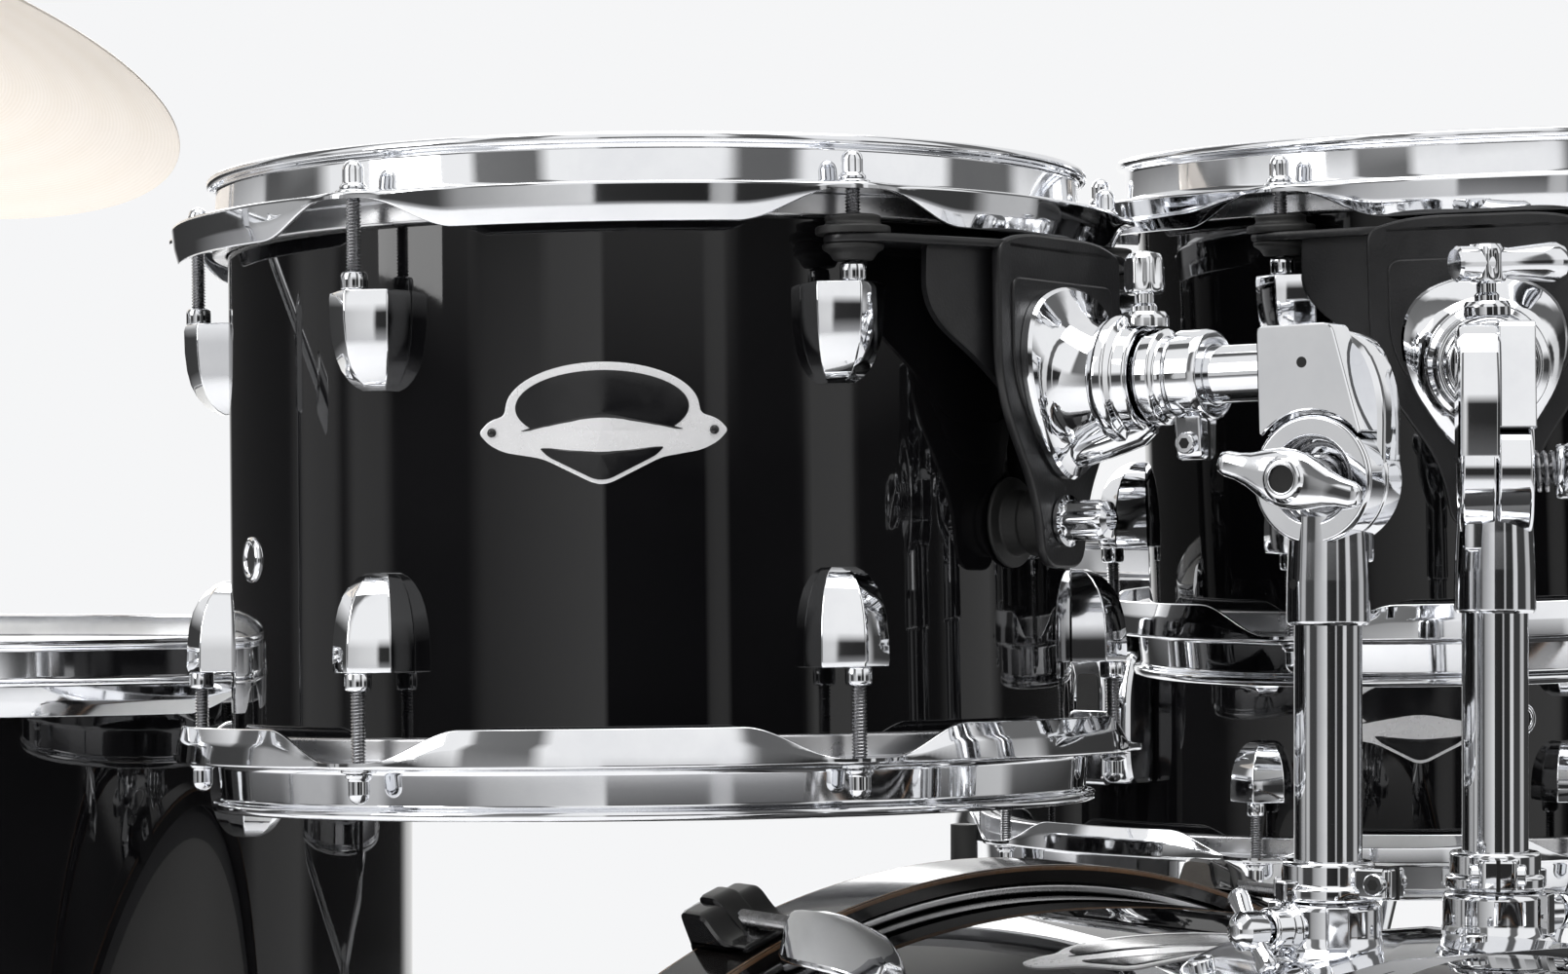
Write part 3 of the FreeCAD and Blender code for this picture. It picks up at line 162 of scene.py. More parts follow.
floor_mesh = bpy.data.meshes.new("floor")
floor_rim = [(FLOOR_RADIUS * math.cos(math.tau * i / FLOOR_STEPS),
              FLOOR_RADIUS * math.sin(math.tau * i / FLOOR_STEPS), -0.0005) for i in range(FLOOR_STEPS)]
floor_mesh.from_pydata(floor_rim, [], [list(range(FLOOR_STEPS))])
floor = bpy.data.objects.new("floor", floor_mesh)
bpy.context.scene.collection.objects.link(floor)
paper = bpy.data.materials.new("floor_paper")
paper.use_nodes = True
sheet = paper.node_tree
sheet.nodes["Principled BSDF"].inputs["Base Color"].default_value = (0.93, 0.93, 0.935, 1)
sheet.nodes["Principled BSDF"].inputs["Roughness"].default_value = 0.7
spot = sheet.nodes.new("ShaderNodeTexCoord")
reach = sheet.nodes.new("ShaderNodeVectorMath")
reach.operation = "LENGTH"
sheet.links.new(spot.outputs["Object"], reach.inputs[0])
fade = add_node(sheet, "MapRange", i1=FLOOR_RADIUS, i2=FLOOR_FADE)
fade.interpolation_type = "SMOOTHSTEP"
sheet.links.new(reach.outputs["Value"], fade.inputs[0])
sheet.links.new(fade.outputs[0], sheet.nodes["Principled BSDF"].inputs["Alpha"])
floor_mesh.materials.append(paper)


def soft_box(name, place, aim, width, height, power):
    data = bpy.data.lights.new(name, "AREA")
    data.shape = "RECTANGLE"
    data.size, data.size_y, data.energy = width, height, power
    lamp = bpy.data.objects.new(name, data)
    lamp.location = place
    lamp.rotation_euler = (Vector(aim) - Vector(place)).to_track_quat("-Z", "Y").to_euler()
    bpy.context.scene.collection.objects.link(lamp)
    return lamp


soft_box("roof_box", (-0.3, -0.2, 3.4), (0, 0.2, 0.5), 2.8, 2.2, 62)
soft_box("left_box", (-3.2, 0.6, 1.9), (-0.3, 0.5, 0.7), 1.2, 1.8, 26)
soft_box("rear_box", (0.9, 3.4, 2.0), (0, 0.4, 0.6), 2.2, 1.4, 34)

# ---- drum shells: rolled ply tubes with turned bearing edges, under black gloss lacquer ----
# Each drum has its own frame: Z along the tube, X towards its holder or its first leg.

SHELL_WALL = 7.5
EDGE_BEVEL = 5.5
EDGE_LAND = 2.0
DRUM_STEPS = 288


def new_group(name, inputs, outputs):
    """An empty node group with its inputs as (name, start) and its output names."""
    group = bpy.data.node_groups.new(name, "ShaderNodeTree")
    for word, start in inputs:
        group.interface.new_socket(word, in_out="INPUT", socket_type="NodeSocketFloat").default_value = start
    for word in outputs:
        group.interface.new_socket(word, in_out="OUTPUT", socket_type="NodeSocketFloat")
    return group, group.nodes.new("NodeGroupInput"), group.nodes.new("NodeGroupOutput")


# Handling marks: cloudy smears and hairlines that change the gloss, and a faint ripple.
marks, marks_in, marks_out = new_group("handling_marks", [("Scale", 20.0), ("Smooth", 0.03), ("Dull", 0.08)],
                                       ["Roughness", "Height", "Mask"])
where = marks.nodes.new("ShaderNodeTexCoord")
cloud = add_node(marks, "TexNoise", Detail=5.0, Roughness=0.6)
grit = add_node(marks, "TexNoise", Detail=3.0, Roughness=0.5)
hair = add_node(marks, "TexNoise", Detail=2.0, Distortion=2.0)
marks.links.new(where.outputs["Object"], cloud.inputs["Vector"])
marks.links.new(where.outputs["Object"], grit.inputs["Vector"])
marks.links.new(where.outputs["Object"], hair.inputs["Vector"])
marks.links.new(marks_in.outputs["Scale"], cloud.inputs["Scale"])
marks.links.new(calc(marks, "MULTIPLY", marks_in.outputs["Scale"], 22.0), grit.inputs["Scale"])
marks.links.new(calc(marks, "MULTIPLY", marks_in.outputs["Scale"], 5.0), hair.inputs["Scale"])
smear = add_node(marks, "MapRange", i1=0.42, i2=0.74)
marks.links.new(cloud.outputs[0], smear.inputs[0])
line = calc(marks, "LESS_THAN", calc(marks, "ABSOLUTE", calc(marks, "SUBTRACT", hair.outputs[0], 0.5)),
            0.004)
worn = calc(marks, "MAXIMUM", smear.outputs[0], calc(marks, "MULTIPLY", line, 0.6))
span = calc(marks, "SUBTRACT", marks_in.outputs["Dull"], marks_in.outputs["Smooth"])
marks.links.new(calc(marks, "MULTIPLY_ADD", worn, span, marks_in.outputs["Smooth"]),
                marks_out.inputs["Roughness"])
marks.links.new(grit.outputs[0], marks_out.inputs["Height"])
marks.links.new(smear.outputs[0], marks_out.inputs["Mask"])


def finish_of(name, colour, second, smooth, dull, metallic=0.0, scale=20.0, ripple=0.02, depth=0.0002,
              **sockets):
    """A finish whose gloss, tint and fine surface vary with its handling marks."""
    material = bpy.data.materials.new(name)
    material.use_nodes = True
    tree = material.node_tree
    shader = tree.nodes["Principled BSDF"]
    shader.inputs["Metallic"].default_value = metallic
    for key, start in sockets.items():
        shader.inputs[key.replace("_", " ")].default_value = start
    used = tree.nodes.new("ShaderNodeGroup")
    used.node_tree = marks
    used.inputs["Scale"].default_value = scale
    used.inputs["Smooth"].default_value = smooth
    used.inputs["Dull"].default_value = dull
    tint = add_node(tree, "MixRGB", i1=(*colour, 1), i2=(*second, 1))
    tree.links.new(used.outputs["Mask"], tint.inputs[0])
    bump = add_node(tree, "Bump", Strength=ripple, Distance=depth)
    tree.links.new(used.outputs["Height"], bump.inputs["Height"])
    tree.links.new(tint.outputs[0], shader.inputs["Base Color"])
    tree.links.new(used.outputs["Roughness"], shader.inputs["Roughness"])
    tree.links.new(bump.outputs[0], shader.inputs["Normal"])
    return material


def eased(corners, radius, steps=3, closed=True):
    """An outline with its corners rounded; a corner may carry its own radius as a third number."""
    result = []
    count = len(corners)
    for index, corner in enumerate(corners):
        here = np.array(corner[:2], float)
        if not closed and index in (0, count - 1):
            result.append(here)
            continue
        before = np.array(corners[index - 1][:2], float) - here
        after = np.array(corners[(index + 1) % count][:2], float) - here
        bend = corner[2] if len(corner) > 2 else radius
        if bend <= 0:
            result.append(here)
            continue
        start = here + before * min(bend / max(np.linalg.norm(before), 1e-9), 0.49)
        end = here + after * min(bend / max(np.linalg.norm(after), 1e-9), 0.49)
        for t in np.linspace(0, 1, steps + 1):
            result.append((1 - t) ** 2 * start + 2 * t * (1 - t) * here + t * t * end)
    return np.array(result)


def grid(rings, closed_ring=True, closed_row=True):
    """Quads over rings of points: rings[i][j], each ring closed, and the row of rings closed."""
    rings = np.asarray(rings, float)
    rows, count = rings.shape[:2]
    faces = []
    for i in range(rows if closed_row else rows - 1):
        a, b = i * count, (i + 1) % rows * count
        for j in range(count if closed_ring else count - 1):
            k = (j + 1) % count
            faces.append((a + j, b + j, b + k, a + k))
    return rings.reshape(-1, 3), faces


def lathe(profile, steps=DRUM_STEPS):
    """A closed profile of (radius, height) swept about Z."""
    profile = np.asarray(profile, float)
    angles = np.arange(steps) * math.tau / steps
    rings = np.stack([np.outer(np.cos(angles), profile[:, 0]), np.outer(np.sin(angles), profile[:, 0]),
                      np.tile(profile[:, 1], (steps, 1))], -1)
    return grid(rings)


def spun(profile, steps=48):
    """A solid of (radius, height) from one point near the axis to another, capped at both ends."""
    profile = np.asarray(profile, float)
    angles = np.arange(steps) * math.tau / steps
    rings = [np.stack([r * np.cos(angles), r * np.sin(angles), np.full(steps, z)], -1) for r, z in profile]
    points, faces = grid(rings, closed_row=False)
    faces = [tuple(reversed(face)) for face in faces]
    last = (len(profile) - 1) * steps
    return points, faces + [tuple(range(steps - 1, -1, -1)), tuple(range(last, last + steps))]


def put(shape, matrix):
    """The shape moved by a matrix whose shifts are in millimetres."""
    points, faces = shape
    m = np.array(matrix)
    return points @ m[:3, :3].T + m[:3, 3], faces


def together(shapes):
    """Several shapes as one."""
    points, faces, start = [], [], 0
    for shape in shapes:
        points.append(shape[0])
        faces += [tuple(start + index for index in face) for face in shape[1]]
        start += len(shape[0])
    return np.concatenate(points), faces


def shift(x, y, z):
    return Matrix.Translation((x, y, z))


def spin(axis, degrees):
    return Matrix.Rotation(math.radians(degrees), 4, axis)


def around(shape, count, start=0.0):
    return together([put(shape, spin("Z", start + 360 * i / count)) for i in range(count)])


def make_piece(name, place, parts, body, nodes=(), crease=30, bevel=0.0, flats=True,
               in_line=False):
    points, faces, indices, finishes, start = [], [], [], [], 0
    for shape, finish in parts:
        if finish not in finishes:
            finishes.append(finish)
        points.append(shape[0])
        faces += [tuple(start + index for index in face) for face in shape[1]]
        indices += [finishes.index(finish)] * len(shape[1])
        start += len(shape[0])
    mesh = bpy.data.meshes.new(name)
    points = np.concatenate(points) * MM
    if in_line:
        points, place = points @ np.array(place.to_3x3()).T, Matrix.Translation(place.translation)
    mesh.from_pydata(points.tolist(), [], faces)
    for finish in finishes:
        mesh.materials.append(finish)
    mesh.polygons.foreach_set("material_index", indices)
    mesh.shade_smooth()
    mesh.set_sharp_from_angle(angle=math.radians(crease))
    piece = bpy.data.objects.new(name, mesh)
    bpy.context.scene.collection.objects.link(piece)
    piece.matrix_world = place
    if bevel:
        edge = piece.modifiers.new("edges", "BEVEL")
        edge.width, edge.segments, edge.limit_method = bevel * MM, 3, "ANGLE"
        edge.angle_limit = math.radians(crease)
    if flats:
        piece.modifiers.new("flats", "WEIGHTED_NORMAL").keep_sharp = True
    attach(piece, body)
    if nodes:
        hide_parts(*nodes)
    return piece


def axes_at(origin, x_axis, y_axis, z_axis):
    """A frame in metres from its origin and its axes."""
    matrix = Matrix((x_axis, y_axis, z_axis)).transposed().to_4x4()
    matrix.translation = origin
    return matrix


def holder_frame(word, tilted):
    """The ratchet's frame: X towards the tom, Y along the bolt, Z up; tilted with the arm or level."""
    origin = Vector(joints[word + "_tilt"]["pos_m"])
    bolt = Vector(joints[word + "_tilt"]["axis"]).normalized()
    out = Vector(joints[word + "_roll"]["axis"]).normalized() if tilted else bolt.cross(Vector((0, 0, 1)))
    return axes_at(origin, out, bolt, out.cross(bolt))


def tom_frame(word, roll, below):
    """A rack tom's frame: its centre, Z up through the heads, X from the tom to its post."""
    held = holder_frame(word, True)
    held.translation = Vector(joints[word + "_roll"]["pos_m"])
    return held @ spin("X", roll) @ shift(0, 0, -below * MM) @ spin("Z", 180)


def middle(node):
    low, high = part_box(node)
    return (low + high) / 2


DRUMS = {
    "left_tom": dict(place=tom_frame("left", 1.0, 32.0), radius=151.0, depth=203.2, lugs=6,
                     body="left_tom"),
    "right_tom": dict(place=tom_frame("right", -1.8, 15.0), radius=126.0, depth=178.0, lugs=6,
                      body="right_tom"),
    "floor_tom": dict(place=Matrix.Translation(middle("floor_tom_shell")) @ spin("Z", -98), radius=203.0,
                      depth=406.0, lugs=8, body="kit"),
    "snare": dict(place=Matrix.Translation(middle("snare_shell")) @ spin("Z", -166), radius=177.8,
                  depth=140.0, lugs=8, body="snare_drum"),
    "bass": dict(place=axes_at(middle("bass_shell"), (0, 0, 1), (1, 0, 0), (0, 1, 0)), radius=279.4,
                 depth=457.0, lugs=8, body="kit"),
}
black_lacquer = finish_of("black_lacquer", (0.0035, 0.0034, 0.004), (0.006, 0.0058, 0.0065), 0.015, 0.045,
                          scale=7.0, ripple=0.012, depth=0.0002, Coat_Weight=0.15, Coat_Roughness=0.01,
                          Specular_IOR_Level=0.52)

for word, drum in DRUMS.items():
    half = drum["depth"] / 2
    outer, inner = drum["radius"], drum["radius"] - SHELL_WALL
    skin = eased([(outer - EDGE_LAND, half, 0.6), (outer, half - EDGE_LAND, 1.2), (outer, 1 - half + 1, 0),
                  (outer, EDGE_LAND - half, 1.2), (outer - EDGE_LAND, -half, 0.6)], 1, 4, closed=False)
    skin = np.concatenate([skin, [[inner, EDGE_BEVEL - half], [inner, 0], [inner, half - EDGE_BEVEL]]])
    make_piece(word + "_shell", drum["place"], [(lathe(skin[::-1]), black_lacquer)], drum["body"],
               [word + "_shell"], crease=40)

# ---- vents: pressed steel grommets that line the air hole of each shell ----

chrome = finish_of("chrome", (0.83, 0.84, 0.86), (0.74, 0.75, 0.78), 0.03, 0.09, metallic=1.0, scale=26.0,
                   ripple=0.012, depth=0.0001)
# a near-black finish for the discs and plates set into holes, slots and sockets: painted shade for their
# unlit insides
hole_shade = finish_of("hole_shade", (0.004, 0.004, 0.004), (0.008, 0.008, 0.008), 0.7, 0.9)
VENT_OUT, VENT_IN = 8.0, 5.0
vent_ring = lathe(eased([(VENT_IN, -1.0), (VENT_OUT, -1.0), (VENT_OUT, 0.5), (VENT_OUT - 0.9, 1.5),
                         (VENT_IN + 0.5, 1.2), (VENT_IN, 0.2)], 0.5, 2), 40)
# a dark disc inside each grommet: painted shade for the unlit inside of the shell
vent_shade = spun([(VENT_IN + 0.2, -1.0), (VENT_IN + 0.2, 0.25)], 32)


def on_shell(drum, angle, height):
    """A frame on a shell's face: X round the drum, Y up it and Z out of it."""
    return spin("Z", angle) @ shift(drum["radius"], 0, height) @ Matrix(
        ((0, 0, 1, 0), (1, 0, 0, 0), (0, 1, 0, 0), (0, 0, 0, 1)))


for word, angle, height in (("left_tom", -120, -24), ("right_tom", 120, -18), ("floor_tom", 70, 40),
                            ("snare", 60, 0), ("bass", 90, 0)):
    drum = DRUMS[word]
    seat = on_shell(drum, angle, height)
    make_piece(word + "_vent", drum["place"],
               [(put(vent_ring, seat), chrome), (put(vent_shade, seat), hole_shade)],
               drum["body"])

# ---- badges: stamped plates with a plain dark shield, wrapped on the shell and riveted ----
# They carry no name: a polished border, two black enamel fields and two small rivets.

badge_metal = finish_of("badge_metal", (0.86, 0.86, 0.87), (0.80, 0.80, 0.815), 0.24, 0.36, metallic=0.25,
                        scale=60.0, ripple=0.05)
badge_enamel = finish_of("badge_enamel", (0.006, 0.006, 0.007), (0.012, 0.012, 0.013), 0.10, 0.2, scale=60.0)
BADGE_PLATE = 0.7
BADGE_FIELD = 0.95
SHIELD_RADII = (32.0, 15.0)
SHIELD_RISE = 5.5
FIELD_RADII = (28.6, 11.9)
FIELD_CUT = -1.7


def arc(centre_y, radii, start, end, steps):
    angles = np.radians(np.linspace(start, end, steps))
    return [(radii[0] * math.cos(a), centre_y + radii[1] * math.sin(a)) for a in angles]


def wrapped(corners, centre, drum, seat, bottom, top):
    """A thin plate of a star-shaped outline, bent round the shell."""
    corners = np.asarray(corners, float)
    centre = np.array(centre, float)
    rings = []
    for share, lift in ((0.02, top), (0.25, top), (0.5, top), (0.75, top), (0.985, top), (1.0, top - 0.12),
                        (1.0, bottom)):
        flat = centre + (corners - centre) * share
        angles = flat[:, 0] / drum["radius"]
        out = drum["radius"] + lift
        rings.append(np.stack([out * np.cos(angles), out * np.sin(angles), flat[:, 1]], -1))
    points, faces = grid(rings, closed_row=False)
    count = len(corners)
    faces = [tuple(reversed(face)) for face in faces]
    return put((points, faces + [tuple(range(count))]), seat)


right_half = [(41.5, -2.0, 1.6), (38.0, 1.8, 2.5), (32.5, 3.4, 2.0)]
crown = arc(SHIELD_RISE, SHIELD_RADII, 4, 176, 40)
lower = [(-32.5, -8.6, 2.5), (-19.5, -10.8, 3.0), (-2.2, -19.4, 3.0), (2.2, -19.4, 3.0), (19.5, -10.8, 3.0),
         (32.5, -8.6, 2.5), (38.0, -5.9, 2.5)]
plate_line = eased(right_half + [(x, y, 0) for x, y in crown] + [(-x, y, r) for x, y, r in right_half[::-1]]
                   + [(-38.0, -5.9, 2.5)] + lower, 1, 5)
field_line = eased([(x, y, 0) for x, y in arc(SHIELD_RISE + 0.4, FIELD_RADII, -34, 214, 48)
                    if y > FIELD_CUT] + [(-27.0, FIELD_CUT, 0.8), (27.0, FIELD_CUT, 0.8)], 0.8, 3)
foot_line = eased([(-20.5, -7.4, 1.0), (-17.8, -10.2, 2.0), (-2.2, -18.0, 2.0), (2.2, -18.0, 2.0),
                   (17.8, -10.2, 2.0), (20.5, -7.4, 1.0)], 1, 3)
rivet = spun([(1.5, 0), (1.5, 0.5), (1.1, 1.0), (0.4, 1.25)], 20)


def badge(word, angle, height):
    drum = DRUMS[word]
    seat = spin("Z", angle) @ shift(0, 0, height)
    parts = [(wrapped(plate_line, (0, -2), drum, seat, -0.2, BADGE_PLATE), badge_metal),
             (wrapped(field_line, (0, 4), drum, seat, 0.4, BADGE_FIELD), badge_enamel),
             (wrapped(foot_line, (0, -10), drum, seat, 0.4, BADGE_FIELD), badge_enamel)]
    for side in (-1, 1):
        spot = spin("Z", math.degrees(side * 36.8 / drum["radius"])) @ shift(0, 0, -2)
        parts.append((put(put(rivet, on_shell(drum, 0, 0)), seat @ spot @ shift(BADGE_PLATE, 0, 0)),
                      badge_enamel))
    make_piece(word + "_badge", drum["place"], parts, drum["body"], crease=50)


badge("left_tom", -60, 17)
badge("right_tom", 60, 12)
badge("floor_tom", 160, 60)
badge("snare", 45, 0)

# ---- drum heads: coated film over the bearing edge, crimped into an aluminium flesh hoop ----

FLESH_DROP, FLESH_TALL, FLESH_WIDTH = 8.8, 8.0, 5.5
COLLAR = 15.0
film = finish_of("drum_film", (0.80, 0.80, 0.785), (0.74, 0.74, 0.72), 0.42, 0.58, scale=9.0, ripple=0.35,
                 depth=0.0002, Subsurface_Weight=0.0, Sheen_Weight=0.05)
clear_film = finish_of("clear_film", (0.33, 0.33, 0.34), (0.40, 0.40, 0.40), 0.10, 0.2, scale=9.0,
                       ripple=0.05)
flesh_alloy = finish_of("flesh_alloy", (0.66, 0.66, 0.67), (0.55, 0.55, 0.56), 0.25, 0.4, metallic=1.0,
                        scale=40.0)


def head_parts(drum, end, width=FLESH_WIDTH, drop=FLESH_DROP):
    """The film and its flesh hoop at the upper (+1) or lower (-1) end."""
    radius, edge = drum["radius"], drum["depth"] / 2
    coat = radius - COLLAR
    disc = [(0.05, edge + 0.5), (radius * 0.4, edge + 0.5), (coat - 0.4, edge + 0.5), (coat, edge + 0.38),
            (coat - 0.4, edge + 0.2), (radius * 0.4, edge + 0.2), (0.05, edge + 0.2)]
    collar = eased([(coat - 1, edge + 0.42), (radius - 2.5, edge + 0.42), (radius + 0.95, edge - 1.2, 3),
                    (radius + 0.95, edge - drop - 1), (radius + 0.45, edge - drop - 1),
                    (radius + 0.45, edge - 1.4, 3), (radius - 2.6, edge + 0.08), (coat - 1, edge + 0.08)],
                   0.3, 4)
    channel = eased([(radius + 0.5, edge - drop), (radius + width, edge - drop),
                     (radius + width, edge - drop - FLESH_TALL), (radius + 0.5, edge - drop - FLESH_TALL)],
                    1, 3)
    flip = Matrix.Diagonal((1, 1, end, 1))
    order = -1 if end > 0 else 1
    return [(put(lathe(np.array(line)[::order]), flip), use)
            for line, use in ((disc[::-1], film), (collar, clear_film), (channel, flesh_alloy))]


for word in ("left_tom", "right_tom"):
    for part, end in (("batter", 1), ("reso", -1)):
        make_piece(f"{word}_{part}_head", DRUMS[word]["place"], head_parts(DRUMS[word], end),
                   DRUMS[word]["body"], [f"{word}_{part}_head"], crease=50)
for word in ("floor_tom", "snare"):
    make_piece(word + "_heads", DRUMS[word]["place"],
               head_parts(DRUMS[word], 1) + head_parts(DRUMS[word], -1),
               DRUMS[word]["body"], [word + "_heads"], crease=50)
for part, end in (("batter", 1), ("front", -1)):
    make_piece(f"bass_{part}_head", DRUMS["bass"]["place"], head_parts(DRUMS["bass"], end, 3.8, 6.0), "kit",
               [f"bass_{part}_head"], crease=50)

# ---- steel hoops: pressed from strip, with a rolled rim, a ledge and a scalloped outer skirt ----
# The skirt sweeps up in an S curve beside each tension rod, where the ledge widens into an ear.

HOOP_STEPS = 480
HOOP_GAP, HOOP_WALL = 2.2, 2.2
RIM_RISE, RIM_LIP, RIM_ROLL = 10.5, 7.4, 3.4
LEDGE_OUT, LEDGE_WALL = 20.0, 2.0
SKIRT_DEEP, SKIRT_IN = 10.8, 2.4
EAR_FLAT, EAR_SWEEP = 8.0, 34.0
EAR_BULGE, EAR_SPREAD = 4.4, 10.5


def hoop_shape(drum, end):
    """The hoop at the upper (+1) or lower (-1) end, its section changing round the drum."""
    radius, edge, lugs = drum["radius"], drum["depth"] / 2, drum["lugs"]
    top, seat = edge + RIM_RISE, edge - FLESH_DROP
    rings = []
    for angle in np.arange(HOOP_STEPS) * math.tau / HOOP_STEPS:
        pitch = math.tau / lugs
        off = abs((angle % pitch) - pitch / 2) * (radius + LEDGE_OUT)
        sweep = min(max((off - EAR_FLAT) / EAR_SWEEP, 0.0), 1.0)
        full = sweep * sweep * (3 - 2 * sweep)
        ear = EAR_BULGE * math.exp(-(off / EAR_SPREAD) ** 2)
        out = radius + LEDGE_OUT + ear
        wall = radius + HOOP_GAP + HOOP_WALL
        low = seat - 0.3 - SKIRT_DEEP * full
        tuck = SKIRT_IN * full
        section = eased([
            (radius + HOOP_GAP, top, 1.2), (radius + RIM_LIP, top, 1.8),
                         (radius + RIM_LIP, top - RIM_ROLL, 1.2),
            (wall - 0.5, top - RIM_ROLL - 0.8, 1.2), (wall + 0.6, seat + LEDGE_WALL, 2.4),
                         (out, seat + LEDGE_WALL, 1.3),
            (out - tuck * 0.35, (seat + low) / 2, 1.0), (out - tuck, low, 0.5),
            (out - tuck - 1.6, low, 0.5), (out - 2.2 - tuck * 0.35, seat - 0.25, 0.8),
            (radius + HOOP_GAP, seat - 0.3, 0.3)], 1, 3)
        c, s = math.cos(angle), math.sin(angle)
        rings.append(np.stack([section[:, 0] * c, section[:, 0] * s, section[:, 1] * end], -1))
    points, faces = grid(rings)
    return points, faces if end < 0 else [tuple(reversed(face)) for face in faces]


for word in ("left_tom", "right_tom"):
    for part, end in (("batter", 1), ("reso", -1)):
        make_piece(f"{word}_{part}_hoop", DRUMS[word]["place"], [(hoop_shape(DRUMS[word], end), chrome)],
                   DRUMS[word]["body"], [f"{word}_{part}_hoop"], crease=40)
for word in ("floor_tom", "snare"):
    drum = DRUMS[word]
    make_piece(word + "_hoops", drum["place"],
               [(hoop_shape(drum, 1), chrome), (hoop_shape(drum, -1), chrome)],
               drum["body"], [word + "_hoops"], crease=40)

# ---- lugs: die-cast, faceted to a ridge, tapering to a rounded tip, with a swivel collar ----

LUG_SIDE = 0.62
LUG_LEVELS = [(0.0, 12.3, 19.0), (0.06, 12.5, 19.6), (0.3, 12.4, 19.4), (0.5, 11.9, 18.6),
              (0.66, 11.0, 17.2),
              (0.79, 9.8, 15.0), (0.89, 8.2, 12.2), (0.955, 6.6, 9.4), (1.0, 4.6, 6.0)]
ROD_OUT = 14.0
COLLAR_LINE = [(2.9, 0), (4.5, 0), (4.5, 4.6), (4.1, 6.0), (2.9, 6.0)]


def faceted(levels, radius, start, tall, side=LUG_SIDE):
    """A lug that hangs from the height start: (share of its height, half width, depth) at each level."""
    rings = []
    for share, half, deep in levels:
        line = [(radius - 0.4, -half), (radius + deep * side, -half), (radius + deep * 0.9, -half * 0.34),
                (radius + deep, 0.0), (radius + deep * 0.9, half * 0.34), (radius + deep * side, half),
                (radius - 0.4, half)]
        rings.append([(x, y, start - share * tall) for x, y in line])
    points, faces = grid(rings, closed_row=False)
    count = len(rings[0])
    last = (len(rings) - 1) * count
    return points, faces + [tuple(range(count)), tuple(range(last + count - 1, last - 1, -1))]


def lug_set(drum, edge, tall):
    """Upper and lower lugs with their collars, all round a drum."""
    top = drum["depth"] / 2 - edge
    cast = faceted(LUG_LEVELS, drum["radius"], top, tall)
    collar = put(lathe(eased(COLLAR_LINE, 0.5, 2), 28), shift(drum["radius"] + ROD_OUT, 0, top))
    flip = spin("X", 180)
    casts = [cast, put(cast, flip)]
    collars = [collar, put(collar, flip)]
    first = 180 / drum["lugs"]
    return [(around(together(casts), drum["lugs"], first), chrome),
            (around(together(collars), drum["lugs"], first), chrome)]


LUG_EDGES = {"left_tom": (38.5, 33.0), "right_tom": (38.5, 33.0), "floor_tom": (38.5, 33.0),
             "snare": (33.0, 27.0)}
for word, (edge, tall) in LUG_EDGES.items():
    drum = DRUMS[word]
    make_piece(word + "_lugs", drum["place"], lug_set(drum, edge, tall), drum["body"],
               [word + "_lugs"], crease=24, bevel=0.7, flats=False)

# ---- tension rods: rolled thread, a washer on the hoop's ear and a domed square key head ----

thread_steel = finish_of("thread_steel", (0.42, 0.42, 0.43), (0.26, 0.26, 0.27), 0.22, 0.4, metallic=1.0,
                         scale=80.0)
THREAD_PITCH, THREAD_DEEP, ROD_RADIUS = 1.1, 0.32, 2.65
THREAD_SIDES, THREAD_CUTS = 12, 4
ROD_SINK = 11.0
WASHER_LINE = [(0.3, 0), (6.0, 0), (6.0, 1.0), (4.6, 1.6), (0.3, 1.6)]
KEY_LINE = [(0.3, 1.6), (4.6, 1.6), (4.6, 2.8), (3.6, 3.4), (3.55, 8.6), (2.9, 10.2), (1.6, 11.2),
            (0.3, 11.5)]


def threaded(low, high, radius=ROD_RADIUS, pitch=THREAD_PITCH):
    """A rod along Z whose thread winds round it."""
    levels = np.arange(low, high, pitch / THREAD_CUTS)
    angles = np.arange(THREAD_SIDES) * math.tau / THREAD_SIDES
    turns = levels[:, None] / pitch - angles[None, :] / math.tau
    r = radius - THREAD_DEEP * (1 + np.cos(turns * math.tau))
    rings = np.stack([r * np.cos(angles), r * np.sin(angles), np.repeat(levels[:, None], THREAD_SIDES, 1)],
                     -1)
    points, faces = grid(rings, closed_row=False)
    return points, [tuple(reversed(face)) for face in faces]


def rod_set(drum, edge):
    seat = drum["depth"] / 2 - FLESH_DROP + LEDGE_WALL
    place = shift(drum["radius"] + ROD_OUT, 0, 0)
    shaft = put(threaded(drum["depth"] / 2 - edge - ROD_SINK, seat + 0.5), place)
    cap = put(together([spun(eased(WASHER_LINE, 0.4, 2, closed=False), 28),
                        spun(eased(KEY_LINE, 0.6, 2, closed=False), 20)]), place @ shift(0, 0, seat))
    flip = spin("X", 180)
    first = 180 / drum["lugs"]
    return [(around(together([shaft, put(shaft, flip)]), drum["lugs"], first), thread_steel),
            (around(together([cap, put(cap, flip)]), drum["lugs"], first), chrome)]


for word, (edge, tall) in LUG_EDGES.items():
    drum = DRUMS[word]
    nodes = [word + "_rods"] if word != "snare" else []
    make_piece(word + "_rods", drum["place"], rod_set(drum, edge), drum["body"], nodes, crease=45)

# ---- rack tom suspensions: black steel plates that hang each drum from two of its rods ----
# A flange reaches under each rod, and the plate runs down to a rubber bumper on the shell.

black_enamel = finish_of("black_enamel", (0.010, 0.010, 0.011), (0.018, 0.018, 0.019), 0.30, 0.46,
                         scale=45.0,
                         ripple=0.35, depth=0.0002)
HANG_LEVEL, HANG_WALL = 23.5, 3.0
PLATE_OUT, PLATE_WALL = 18.5, 3.5
TO_X = Matrix(((0, 0, 1, 0), (1, 0, 0, 0), (0, 1, 0, 0), (0, 0, 0, 1)))
TO_Y = Matrix(((1, 0, 0, 0), (0, 0, -1, 0), (0, 1, 0, 0), (0, 0, 0, 1)))


